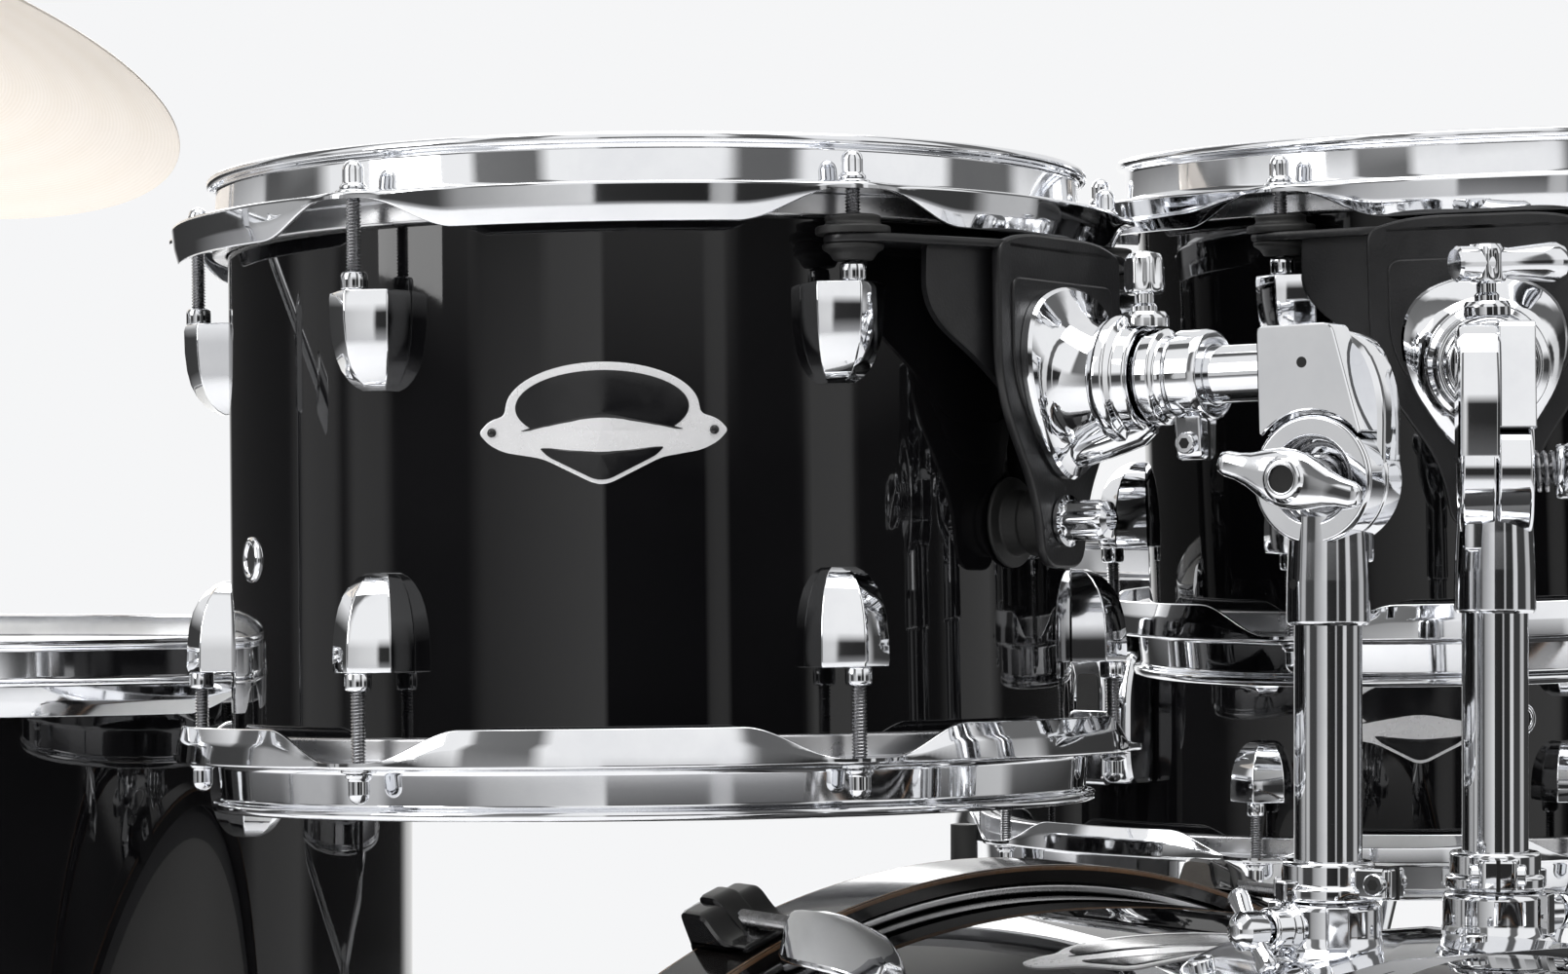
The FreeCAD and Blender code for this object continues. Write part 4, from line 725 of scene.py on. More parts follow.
def slab(line, low, high, soft=0.7):
    """A plate of an outline from low to high along Z, its edges softened."""
    line = np.asarray(line, float)
    run = np.roll(line, -1, 0) - np.roll(line, 1, 0)
    inward = np.stack([-run[:, 1], run[:, 0]], -1) / np.maximum(np.linalg.norm(run, axis=1), 1e-9)[:, None]
    area = np.sum(line[:, 0] * np.roll(line[:, 1], -1) - line[:, 1] * np.roll(line[:, 0], -1))
    if area < 0:
        line, inward = line[::-1], -inward[::-1]
    rings = []
    for share, level in ((1, low), (0.3, low + soft * 0.3), (0, low + soft), (0, high - soft),
                         (0.3, high - soft * 0.3), (1, high)):
        flat = line + inward * soft * share
        rings.append(np.column_stack([flat, np.full(len(flat), level)]))
    points, faces = grid(rings, closed_row=False)
    count = len(line)
    last = (len(rings) - 1) * count
    faces = [tuple(face) for face in faces]
    return points, faces + [tuple(range(count - 1, -1, -1)), tuple(range(last, last + count))]


def suspension(drum):
    top = drum["depth"] / 2 - HANG_LEVEL
    rod = drum["radius"] + ROD_OUT
    x, y = rod * math.cos(math.radians(30)), rod * math.sin(math.radians(30))
    back = drum["radius"] + PLATE_OUT
    flange = eased([(x - 11, -y - 4, 9), (x, -y - 13, 9), (x + 12, -y - 5, 9), (back + PLATE_WALL, -38, 5),
                    (back + PLATE_WALL, 38, 5), (x + 12, y + 5, 9), (x, y + 13, 9), (x - 11, y + 4, 9),
                    (back - 8, 30, 14), (back - 8, -30, 14)], 3, 5)
    plate = eased([(-40, top - 1, 5), (-40, top - 50, 16), (-16, top - 86, 12), (-13, top - 109, 9),
                   (13, top - 109, 9), (16, top - 86, 12), (40, top - 50, 16), (40, top - 1, 5),
                   (24, top + 3.2, 12), (-24, top + 3.2, 12)], 3, 6)
    wing = eased([(-64, top - 1, 4), (-65, top - 25, 14), (-38, top - 43, 10), (-20, top - 58, 8),
                  (20, top - 58, 8), (38, top - 43, 10), (65, top - 25, 14), (64, top - 1, 4)]
                 + [(x, top - 1, 0) for x in range(56, -60, -8)], 3, 8)
    wing[:, 0] *= drum["radius"] / (drum["radius"] + PLATE_OUT)
    bead = eased([(-33, top - 12, 5), (-33, top - 46, 12), (-14, top - 72, 8), (14, top - 72, 8),
                  (33, top - 46, 12), (33, top - 12, 5)], 3, 6)
    return together([slab(flange, top - HANG_WALL, top, 0.9),
                     put(slab(plate, back, back + PLATE_WALL, 0.9), TO_X),
                     wrapped(wing, (0, top - 22), drum, Matrix.Identity(4), PLATE_OUT - 1.2,
                             PLATE_OUT + 1.8),
                     put(slab(bead, back - 0.8, back + PLATE_WALL + 0.8, 0.7), TO_X)])


for word in ("left_tom", "right_tom"):
    drum = DRUMS[word]
    make_piece(word + "_suspension", drum["place"], [(suspension(drum), black_enamel)], drum["body"],
               [word + "_suspension"], crease=40)

# ---- isolators: moulded rubber grommets on the rods and a round bumper against the shell ----

rubber = finish_of("rubber", (0.012, 0.012, 0.012), (0.022, 0.022, 0.021), 0.5, 0.68, scale=70.0, ripple=0.4,
                   depth=0.0002)
GROMMET = [(3.0, 0), (12.4, 0), (12.4, 2.6), (9.6, 3.2), (9.0, 4.0), (9.4, 6.0), (7.6, 6.6), (3.0, 6.6)]
CONE = [(3.0, -3.0), (10.2, -3.0), (10.2, -4.6), (8.0, -6.0), (6.4, -8.4), (3.0, -8.4)]
BUMPER = [(0.3, 0), (15.5, 0), (15.5, 1.6), (11.4, 2.6), (10.4, 8.5), (11.6, 9.4), (11.6, 18.4), (0.3, 18.4)]
for word in ("left_tom", "right_tom"):
    drum = DRUMS[word]
    top = drum["depth"] / 2 - HANG_LEVEL
    grommet = together([lathe(eased(GROMMET, 0.7, 3), 40), lathe(eased(CONE[::-1], 0.6, 3), 40)])
    rod = drum["radius"] + ROD_OUT
    pair = [put(grommet, spin("Z", side * 30) @ shift(rod, 0, top)) for side in (-1, 1)]
    seat = shift(drum["radius"] + 0.2, 0, top - 93) @ TO_X
    bumper = put(spun(eased(BUMPER, 0.7, 3, closed=False), 48), seat)
    make_piece(word + "_isolators", drum["place"], [(together(pair + [bumper]), rubber)], drum["body"],
               [word + "_isolators"], crease=40)

# ---- arm brackets: cast shields that run out into a barrel, with a fluted clamp bolt on top ----

SHIELD_LINE = [(-30, 12, 10), (-27, -6, 10), (-15, -25, 9), (-5, -33, 6), (5, -33, 6), (15, -25, 9),
               (27, -6, 10),
               (30, 12, 10), (24, 26, 12), (8, 32, 14), (-8, 32, 14), (-24, 26, 12)]
BARREL_STEPS = 64
BARREL_LOFT = [(0.0, 0.0, 0.97), (1.0, 0.0, 1.0), (3.6, 0.0, 1.0), (4.8, 0.0, 0.97), (5.4, 0.06, 0.93),
               (7.0, 0.42, 0.92), (9.5, 0.66, 0.95), (13.0, 0.84, 1.0), (17.0, 0.95, 1.0), (21.0, 1.0, 1.0)]
BARREL_R = 17.0
RING_LINE = [(17.0, 19.5), (20.6, 20.5), (21.8, 23.5), (21.4, 27.0), (18.6, 28.6), (18.2, 33.4),
             (17.2, 34.0),
             (10.0, 34.0), (10.0, 30.0), (10.0, 19.5)]
CAP_FLUTES, CAP_FLUTE_DEEP = 8, 0.9
BOLT_OUT, BOLT_RISE = 32.0, 28.0
KNOB_DROP = 93.0


def by_angle(line, steps):
    """Radii of a star-shaped outline at even angles."""
    line = np.asarray(line, float)
    angles = np.arctan2(line[:, 1], line[:, 0])
    order = np.argsort(angles)
    grid_angles = np.arange(steps) * math.tau / steps - math.pi
    radii = np.interp(grid_angles, angles[order], np.hypot(line[:, 0], line[:, 1])[order], period=math.tau)
    return grid_angles, radii


def fluted(profile, flutes, deep, steps=64):
    """A capped turned solid whose middle stations are fluted; each station may carry a flute share."""
    angles = np.arange(steps) * math.tau / steps
    wave = 0.5 - 0.5 * np.cos(angles * flutes)
    rings = [np.stack([(r - deep * share * wave) * np.cos(angles),
                       (r - deep * share * wave) * np.sin(angles),
                       np.full(steps, z)], -1) for r, z, share in profile]
    points, faces = grid(rings, closed_row=False)
    faces = [tuple(reversed(face)) for face in faces]
    last = (len(profile) - 1) * steps
    return points, faces + [tuple(range(steps - 1, -1, -1)), tuple(range(last, last + steps))]


def tube_along(path, radius, sides=16, squash=1.0):
    """A tube along points; squash flattens it across its own path's plane."""
    path = np.asarray(path, float)
    ahead = np.gradient(path, axis=0)
    ahead /= np.linalg.norm(ahead, axis=1)[:, None]
    level = np.array((0.0, 1.0, 0.0)) if abs(ahead[:, 1]).max() < 0.9 else np.array((0.0, 0.0, 1.0))
    rings = []
    radii = np.broadcast_to(radius, len(path))
    angles = np.arange(sides) * math.tau / sides
    for point, way, r in zip(path, ahead, radii):
        flat = level - way * np.dot(level, way)
        flat /= np.linalg.norm(flat)
        rise = np.cross(way, flat)
        rings.append(point + np.outer(np.cos(angles) * r * squash, flat) + np.outer(np.sin(angles) * r,
                                                                                    rise))
    points, faces = grid(rings, closed_row=False)
    last = (len(path) - 1) * sides
    return points, faces + [tuple(range(sides)), tuple(range(last + sides - 1, last - 1, -1))]


def bracket(drum, level, handle):
    face = drum["radius"] + PLATE_OUT + PLATE_WALL
    angles, shield = by_angle(eased(SHIELD_LINE, 5, 6), BARREL_STEPS)
    rings = []
    for x, share, scale in BARREL_LOFT:
        r = shield * scale * (1 - share) + BARREL_R * share
        rings.append(np.stack([r * np.cos(angles), r * np.sin(angles), np.full(BARREL_STEPS, x)], -1))
    points, faces = grid(rings, closed_row=False)
    last = (len(rings) - 1) * BARREL_STEPS
    faces = [tuple(reversed(f)) for f in faces] + [tuple(range(BARREL_STEPS - 1, -1, -1)),
                                                  tuple(range(last, last + BARREL_STEPS))]
    seat = shift(face, 0, level) @ TO_X
    body = put((points, faces), seat)
    ring = put(lathe(eased(RING_LINE, 0.8, 3)[::-1], 64), seat)
    brace = put(tube_along([(1.5, 0, -24), (8, 0, -23.5), (18, 0, -21.0), (30, 0, -17.5), (34, 0, -15.5)],
                           (4.6, 5.4, 5.4, 5.2, 3.8), 20), shift(face, 0, level))
    boss = put(spun(eased([(8.2, 17), (8.2, 20.5), (7.2, 22)], 0.8, 3, closed=False), 40),
               shift(face + BOLT_OUT, 0, level))
    stud = put(spun([(4.4, 20), (4.4, 24), (3.4, 25), (3.4, 32)], 24), shift(face + BOLT_OUT, 0, level))
    grip = fluted([(5.0, 0, 0), (6.6, 0.8, 0), (7.0, 2.0, 0.2), (7.0, 4.0, 1), (6.9, 10.0, 1),
                   (6.6, 12.0, 0.3),
                   (5.4, 13.6, 0), (2.5, 14.4, 0)], CAP_FLUTES, CAP_FLUTE_DEEP)
    if handle:
        arm = put(fluted([(5.2, -12, 0), (6.2, -11, 0), (6.4, 0, 0), (5.4, 8, 0), (6.6, 20, 0.2),
                          (7.2, 26, 0),
                          (6.0, 29, 0), (2.0, 30, 0)], 6, 0.5), spin("Z", 115) @ spin("Y", 90))
        grip = together([grip, put(arm, shift(0, 0, 7))])
    grip = put(grip, shift(face + BOLT_OUT, 0, level + BOLT_RISE))
    nut_level = drum["depth"] / 2 - HANG_LEVEL - KNOB_DROP
    knob = fluted([(8.8, 0, 0), (8.8, 1.4, 0), (7.2, 1.8, 0), (7.2, 2.4, 0.5), (7.5, 3.6, 1), (7.5, 14.5, 1),
                   (6.5, 16.6, 0.4), (3.6, 17.6, 0), (3.2, 15.6, 0)], 6, 1.3)
    knob = put(knob, shift(face + 0.4, 0, nut_level) @ TO_X)
    return together([body, ring, brace, boss, stud, grip, knob])


for word, level, handle in (("left_tom", 32.0, False), ("right_tom", 15.0, True)):
    drum = DRUMS[word]
    make_piece(word + "_bracket", drum["place"], [(bracket(drum, level, handle), chrome)], drum["body"],
               [word + "_bracket"], crease=34)

# ---- tom holders: a steel post and a ratchet in two halves, a cast arm block and its rod ----

POST_R = 11.1
POST_LOW = 446.0
SOCKET = [(13.0, -47.2), (13.65, -46.2), (13.5, -33.0), (12.9, -20.0), (12.6, -12.0)]
DISC = [(4.2, 0.2), (20.4, 0.2), (21.2, 0.9), (21.2, 11.0), (20.2, 12.2), (14.4, 12.2), (13.2, 11.2),
        (8.4, 6.6), (4.2, 6.4)]
ARM_RISE, ARM_R = 36.0, 9.7
BLOCK_HOLLOW = 22.4
SPRING_TURNS, SPRING_R, SPRING_WIRE = 4.6, 6.3, 0.85
SPRING_STEPS = 90
REACH = {"left": 272.0, "right": 230.0}


def span_of(side, low, high):
    """Low to high on the wing nut's side, for a slab that TO_Y has turned."""
    return (-high, -low) if side > 0 else (low, high)


def outward(side):
    """Turns Z to the wing nut's side of the ratchet's bolt."""
    return spin("X", -90 * side)


def screw_head(radius=3.6, tall=3.2):
    """A socket screw's head, with a thin dark hexagon on its top as painted shade for the socket."""
    turns = np.arange(6) * math.tau / 6
    outer = spun(eased([(radius, 0), (radius, tall - 0.4), (radius - 0.5, tall)], 0.3, 2, closed=False), 24)
    recess_shade = [(radius * 0.55 * math.cos(a), radius * 0.55 * math.sin(a)) for a in turns]
    return outer, slab(recess_shade, tall - 0.6, tall + 0.03, 0.05)


for word, side in (("left", 1), ("right", -1)):
    level_place, tilted_place = holder_frame(word, False), holder_frame(word, True)
    low = POST_LOW - level_place.translation.z / MM
    disc = lathe(eased(DISC, 0.5, 2), 72)
    # the post: tube, socket, the far half of the ratchet, its bolt and the spring under the nut
    tube = spun(eased([(POST_R - 1.4, low), (POST_R, low + 1.2), (POST_R, -46.8)], 1, 2, closed=False), 64)
    socket = spun(eased(SOCKET, 0.6, 3, closed=False), 64)
    neck = put(slab(eased([(-12.2, -27, 2), (12.2, -27, 2), (11.5, 0, 6), (-11.5, 0, 6)], 2, 4), 0.4,
                    11.0, 2.2), TO_Y if side > 0 else spin("X", 180) @ TO_Y @ Matrix.Diagonal((1, -1, 1, 1)))
    # a small dark disc on the socket: painted shade standing in for a hole
    hole = put(spun([(1.7, 0), (1.7, 0.35)], 20),
               shift(0, 0, -34) @ spin("Z", 60 * side) @ shift(13.3, 0, 0) @ TO_X)
    bolt = put(threaded(6, 27, 4.1, 1.25), outward(side))
    coil = np.linspace(0, 1, SPRING_STEPS)
    turns = coil * SPRING_TURNS * math.tau
    spring = tube_along(np.stack([SPRING_R * np.cos(turns), SPRING_R * np.sin(turns), 7.6 + coil * 12.0],
                                 -1),
                        SPRING_WIRE, 8)
    make_piece(word + "_post", level_place,
               [(together([tube, socket, neck, put(disc, outward(-side))]), chrome), (hole, hole_shade),
                (together([bolt, put(spring, outward(side))]), thread_steel)],
               word + "_post", [word + "_holder_post"], crease=36)
    # the arm: the near half of the ratchet, the cast block, the rod and its memory clamp
    hollow = [(BLOCK_HOLLOW * math.cos(a), BLOCK_HOLLOW * math.sin(a), 0)
              for a in np.radians(np.linspace(140, 41, 16))]
    near = eased([(18.4, 15.6, 0.3), (18.4, 50.4, 2.5), (-9, 50.4, 3), (-18.2, 15.2, 0.3)] + hollow, 0.3, 4)
    far = eased([(18.0, 2, 2), (18.0, 49.6, 3), (-12, 49.6, 13), (-21.5, 30, 12), (-20.4, 2, 4)], 3, 6)
    block = together([put(slab(near, *span_of(side, 0.8, 12.9), 0.6), TO_Y),
                      put(slab(far, *span_of(side, -12.8, 1.4), 2.2), TO_Y)])
    rod_end = REACH[word] - DRUMS[word + "_tom"]["radius"] - PLATE_OUT - PLATE_WALL - 8
    along_arm = shift(0, 0, ARM_RISE) @ TO_X
    rod = put(spun(eased([(ARM_R, 17), (ARM_R, rod_end), (ARM_R - 1.2, rod_end + 1)], 0.6, 2, closed=False),
                   56),
              along_arm)
    stop = REACH[word] - DRUMS[word + "_tom"]["radius"] - 57.0
    band = lathe(eased([(9.8, -23.5), (14.6, -23.5), (15.4, -21), (15.4, -12), (14.2, -10.6), (14.2, -7.4),
                        (16.2, -6.2), (16.2, -1.2), (15.2, 0), (9.8, 0)], 0.7, 3), 56)
    ears = slab(eased([(-5.2, -28, 3), (5.2, -28, 3), (6.6, -10, 1), (-6.6, -10, 1)], 1, 3), -20.5, -10.5,
                1.2)
    # a thin dark plate in the clamp's slit: painted shade for the slot
    slot_shade = slab([(-0.7, -28.2), (0.7, -28.2), (0.7, -14), (-0.7, -14)], -20.7, -10.3, 0.05)
    clamp = shift(0, 0, ARM_RISE) @ shift(stop, 0, 0) @ TO_X
    head, recess_shade = screw_head()
    screw = clamp @ shift(5.0, -22.5, -15.5) @ spin("Y", 90)
    # dark discs on both cheeks of the block: painted shade for the pin holes
    pin_hole_shade = put(spun([(1.8, 0), (1.8, 0.3)], 20), shift(2, 12.7 * side, 38) @ outward(side))
    far_hole_shade = put(spun([(1.8, 0), (1.8, 0.3)], 20), shift(2, -12.7 * side, 38) @ outward(-side))
    make_piece(word + "_arm", tilted_place,
               [(together([put(disc, outward(side)), block, rod, put(band, clamp), put(ears, clamp),
                           put(head, screw)]), chrome),
                (together([put(slot_shade, clamp), put(recess_shade, screw), pin_hole_shade, far_hole_shade]), hole_shade)],
               word + "_arm", [word + "_holder_arm"], crease=36)

# a card beside the rack toms, which only the holders' flat cheeks mirror
mirrors = bpy.data.collections.new("cheeks_lit_by_card")
for word in ("left", "right"):
    mirrors.objects.link(bpy.data.objects[word + "_arm"])
side_card = soft_box("side_card", (-1.05, 0.065, 0.80), (-0.05, 0.0, 0.76), 0.16, 0.34, 0.10)
side_card.light_linking.receiver_collection = mirrors
side_card.visible_camera = False

# ---- wing nuts: cast in one piece with two lobes, threaded on the ratchet bolts ----

WING_STATIONS = [(-26.0, 1.6, 1.2, 0.8), (-25.2, 3.3, 2.2, 0.8), (-23.0, 4.2, 2.6, 0.7),
                 (-18.5, 4.6, 3.0, 0.5),
                 (-14.0, 5.8, 3.8, 0.3), (-9.5, 7.8, 4.8, 0.1), (-5.0, 9.2, 5.4, 0), (0, 9.7, 5.6, 0)]
WING_SIDES = 28
NUT_START = 20.0
WING_TURN = -13.0
HUB_LINE = [(4.3, 0), (8.8, 0), (9.4, 1.4), (9.0, 6), (7.8, 10.9), (6.4, 12.9), (4.7, 13.3), (4.3, 12.8)]


def wing_nut():
    stations = WING_STATIONS + [(-x, tall, deep, bend) for x, tall, deep, bend in WING_STATIONS[-2::-1]]
    angles = np.arange(WING_SIDES) * math.tau / WING_SIDES
    rings = []
    for x, tall, deep, bend in stations:
        flat = np.sign(np.cos(angles)) * np.abs(np.cos(angles)) ** 0.7 * tall
        out = 6.4 + bend + np.sign(np.sin(angles)) * np.abs(np.sin(angles)) ** 0.7 * deep
        rings.append(np.stack([np.full(WING_SIDES, x), -flat, out], -1))
    points, faces = grid(rings, closed_row=False)
    last = (len(stations) - 1) * WING_SIDES
    wings = points, faces + [tuple(range(WING_SIDES)), tuple(range(last + WING_SIDES - 1, last - 1, -1))]
    return together([wings, lathe(eased(HUB_LINE, 0.6, 3), 48)])


for word, side in (("left", 1), ("right", -1)):
    place = holder_frame(word, False) @ spin("Y", WING_TURN * side)
    seat = outward(side) @ shift(0, 0, NUT_START)
    # a dark disc in the nut's bore: painted shade for the threaded hole
    bore_shade = put(spun([(4.3, 12.0), (4.3, 12.35)], 28), seat)
    make_piece(word + "_wing_nut", place, [(put(wing_nut(), seat), chrome), (bore_shade, hole_shade)],
               word + "_wing_nut", [word + "_holder_wing_nut"], crease=50)

# ---- memory locks: split collars that set each post's height, keyed to the receiver below ----

LOCK_LINE = [(11.2, 0), (15.6, 0), (16.6, 1.0), (16.6, 4.4), (15.2, 5.4), (15.2, 12.0), (14.4, 13.0),
             (11.2, 13.0)]
for word in ("left", "right"):
    low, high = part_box(word + "_holder_lock")
    spot = holder_frame(word, False)
    centre = Vector((spot.translation.x, spot.translation.y, low.z))
    ears = slab(eased([(-25, -6.5, 2.5), (-25, 6.5, 2.5), (-13, 7.5, 1), (-13, -7.5, 1)], 1, 3), 1.5, 11.5,
                1.0)
    # a thin dark plate through the split ears: painted shade for the slit; the screws' dark hexagons are
    # painted shade for their sockets
    split_shade = slab([(-25.3, -0.7), (-25.3, 0.7), (-11.5, 0.7), (-11.5, -0.7)], 1.3, 11.7, 0.05)
    keys = together([put(slab(eased([(13, -4), (18.6, -3.2), (18.6, 3.2), (13, 4)], 1, 3), 0.2, 6.8, 0.8),
                         spin("Z", a)) for a in (60, -60, 0)])
    head, recess_shade = screw_head()
    screw = shift(-20.5, 6.0, 6.5) @ spin("X", -90)
    far = shift(-20.5, -6.0, 6.5) @ spin("X", 90)
    place = Matrix.Translation(centre) @ spot.to_3x3().to_4x4()
    make_piece(word + "_lock", place,
               [(together([lathe(eased(LOCK_LINE, 0.5, 2), 64), ears, keys, put(head, screw),
                           put(head, far)]),
                 chrome), (together([split_shade, put(recess_shade, screw), put(recess_shade, far)]), hole_shade)],
               word + "_lock", [word + "_holder_lock"], crease=36)

# ---- bass drum hoops: bent plywood rings, lacquered black, with thin brown bands on their outer corners as painted reflection ----

hoop_lacquer = finish_of("hoop_lacquer", (0.010, 0.009, 0.009), (0.020, 0.017, 0.016), 0.08, 0.18,
                         scale=12.0,
                         ripple=0.03, Coat_Weight=0.3, Coat_Roughness=0.04)
# thin brown bands on both outer corners of each hoop: painted reflection of brown surroundings in the
# lacquer
brown_reflection = finish_of("brown_reflection", (0.26, 0.145, 0.075), (0.15, 0.08, 0.042), 0.22, 0.38, scale=55.0,
                     ripple=0.12,
                     Coat_Weight=0.3, Coat_Roughness=0.08)
WOOD_GAP, WOOD_WALL, WOOD_IN, WOOD_OUT, WOOD_SEAT = 1.6, 9.5, 16.0, 24.0, 3.2
REFLECTION_BAND, REFLECTION_LIP = 1.6, 2.0
bass = DRUMS["bass"]
RIM = bass["radius"] + WOOD_GAP + WOOD_WALL


def wood_hoop(end):
    edge, inner = bass["depth"] / 2, bass["radius"] + WOOD_GAP
    near, far = edge - WOOD_IN, edge + WOOD_OUT
    wood = eased([(inner + WOOD_SEAT, near + 0.1), (RIM - 0.2, near + 0.1), (RIM - 0.1, near + REFLECTION_BAND),
                  (RIM, near + REFLECTION_BAND + 0.2), (RIM, far - REFLECTION_BAND - 0.2), (RIM - 0.1, far - REFLECTION_BAND),
                  (RIM - 0.2, far - 0.1), (inner, far - 0.1, 1.2), (inner, edge - 6),
                  (inner + WOOD_SEAT, edge - 6)],
                 0.1, 4)
    reflection_bands = [eased([(RIM - REFLECTION_LIP, side), (RIM, side, 0.9), (RIM, side + way * REFLECTION_BAND),
                    (RIM - REFLECTION_LIP, side + way * REFLECTION_BAND)][::way], 0.2, 4)
             for side, way in ((near, 1), (far, -1))]
    scale = np.array((1, end))
    return [(lathe((wood * scale)[::end], 360), hoop_lacquer)] + [
        (lathe((band_line * scale)[::end], 360), brown_reflection) for band_line in reflection_bands]


for part, end in (("batter", 1), ("front", -1)):
    make_piece(f"bass_{part}_hoop", bass["place"], wood_hoop(end), "kit",
               [f"bass_{part}_hoop"], crease=40)

# ---- bass drum lugs: rounded castings, one for each rod ----

BASS_LUG_LEVELS = [(0.0, 9.6, 22.5), (0.04, 11.4, 24.6), (0.14, 13.6, 25.2), (0.32, 14.9, 25.4),
                   (0.52, 14.8, 24.8),
                   (0.7, 13.4, 22.0), (0.84, 11.2, 17.0), (0.94, 8.8, 11.5), (1.0, 6.4, 7.5)]
lug = faceted(BASS_LUG_LEVELS, bass["radius"], bass["depth"] / 2 - 28, 52, side=0.5)
make_piece("bass_lugs", bass["place"],
           [(around(together([lug, put(lug, spin("X", 180))]), 8, 22.5), chrome)],
           "kit", ["bass_lugs"], crease=24, bevel=1.2, flats=False)

# ---- claws: enamelled hooks that pull the hoops in, on rods with T handles or square keys ----

claw_enamel = finish_of("claw_enamel", (0.008, 0.008, 0.009), (0.014, 0.014, 0.015), 0.10, 0.2, scale=50.0,
                        ripple=0.08, Coat_Weight=0.4, Coat_Roughness=0.04)
BASS_ROD_OUT, HANDLE_OUT = 18.6, 22.0
FACE = RIM + 0.3
HOOK = bass["depth"] / 2 + WOOD_OUT + 0.3
edge = bass["depth"] / 2
claw_line = eased([(FACE, edge - 12, 1), (FACE + 3.2, edge - 12, 1.4), (FACE + 3.4, edge + 3, 6),
                   (FACE + 14, edge + 10, 4), (FACE + 14, HOOK + 4, 5), (FACE - 7, HOOK + 3.4, 2),
                   (FACE - 7.4, HOOK, 1), (FACE, HOOK, 1)], 1, 4)
claw = put(slab(claw_line, -13.5, 13.5, 2.2), TO_Y)
claw_rib = put(slab(eased([(FACE + 3, edge + 0, 3), (FACE + 16.5, edge + 12, 4),
                           (FACE + 16.5, HOOK + 1.5, 4),
                           (FACE + 3, HOOK + 1.5, 2)], 2, 4), -5.0, 5.0, 1.8), TO_Y)
rod_x = bass["radius"] + BASS_ROD_OUT
shaft = put(threaded(edge - 50, HOOK + 3, 3.0, 1.25), shift(rod_x, 0, 0))
stem = put(spun(eased([(5.8, 3.2), (5.8, 5.0), (3.4, 5.8), (3.3, 14), (4.4, 17.5), (4.4, 23.5), (3.6, 25.6)],
                      0.8, 3,
                      closed=False), 32), shift(rod_x, 0, HOOK))
bar = put(spun(eased([(1.2, -26), (3.9, -25), (4.1, -22.5), (3.2, -19), (3.2, 19), (4.1, 22.5), (3.9, 25),
                      (1.2, 26)],
                     1.0, 3, closed=False), 28), shift(rod_x, 0, HOOK + HANDLE_OUT) @ spin("X", 90))
key = put(together([spun(eased([(5.6, 3.2), (5.6, 5.2), (4.2, 6.4)], 0.6, 3, closed=False), 32),
                    slab(eased([(-3, -3, 1), (3, -3, 1), (3, 3, 1), (-3, 3, 1)], 1, 3), 5, 13, 0.9)]),
          shift(rod_x, 0, HOOK))
mirror = spin("X", 180)
# the two beside the post base at each end take square keys, which leaves room under the toms
turned = [together([bar, stem]) if 2 <= index <= 5 else key for index in range(8)]
turned = together([put(shape, spin("Z", 22.5 + 45 * index)) for index, shape in enumerate(turned)])
make_piece("bass_claws", bass["place"],
           [(around(together([claw, claw_rib, put(together([claw, claw_rib]), mirror)]), 8, 22.5),
             claw_enamel),
            (together([turned, put(turned, mirror)]), chrome),
            (around(together([shaft, put(shaft, mirror)]), 8, 22.5), thread_steel)],
           "kit", ["bass_claws"], crease=40)

# ---- spurs: tubular legs on hinged brackets that keep the bass drum from creeping ----

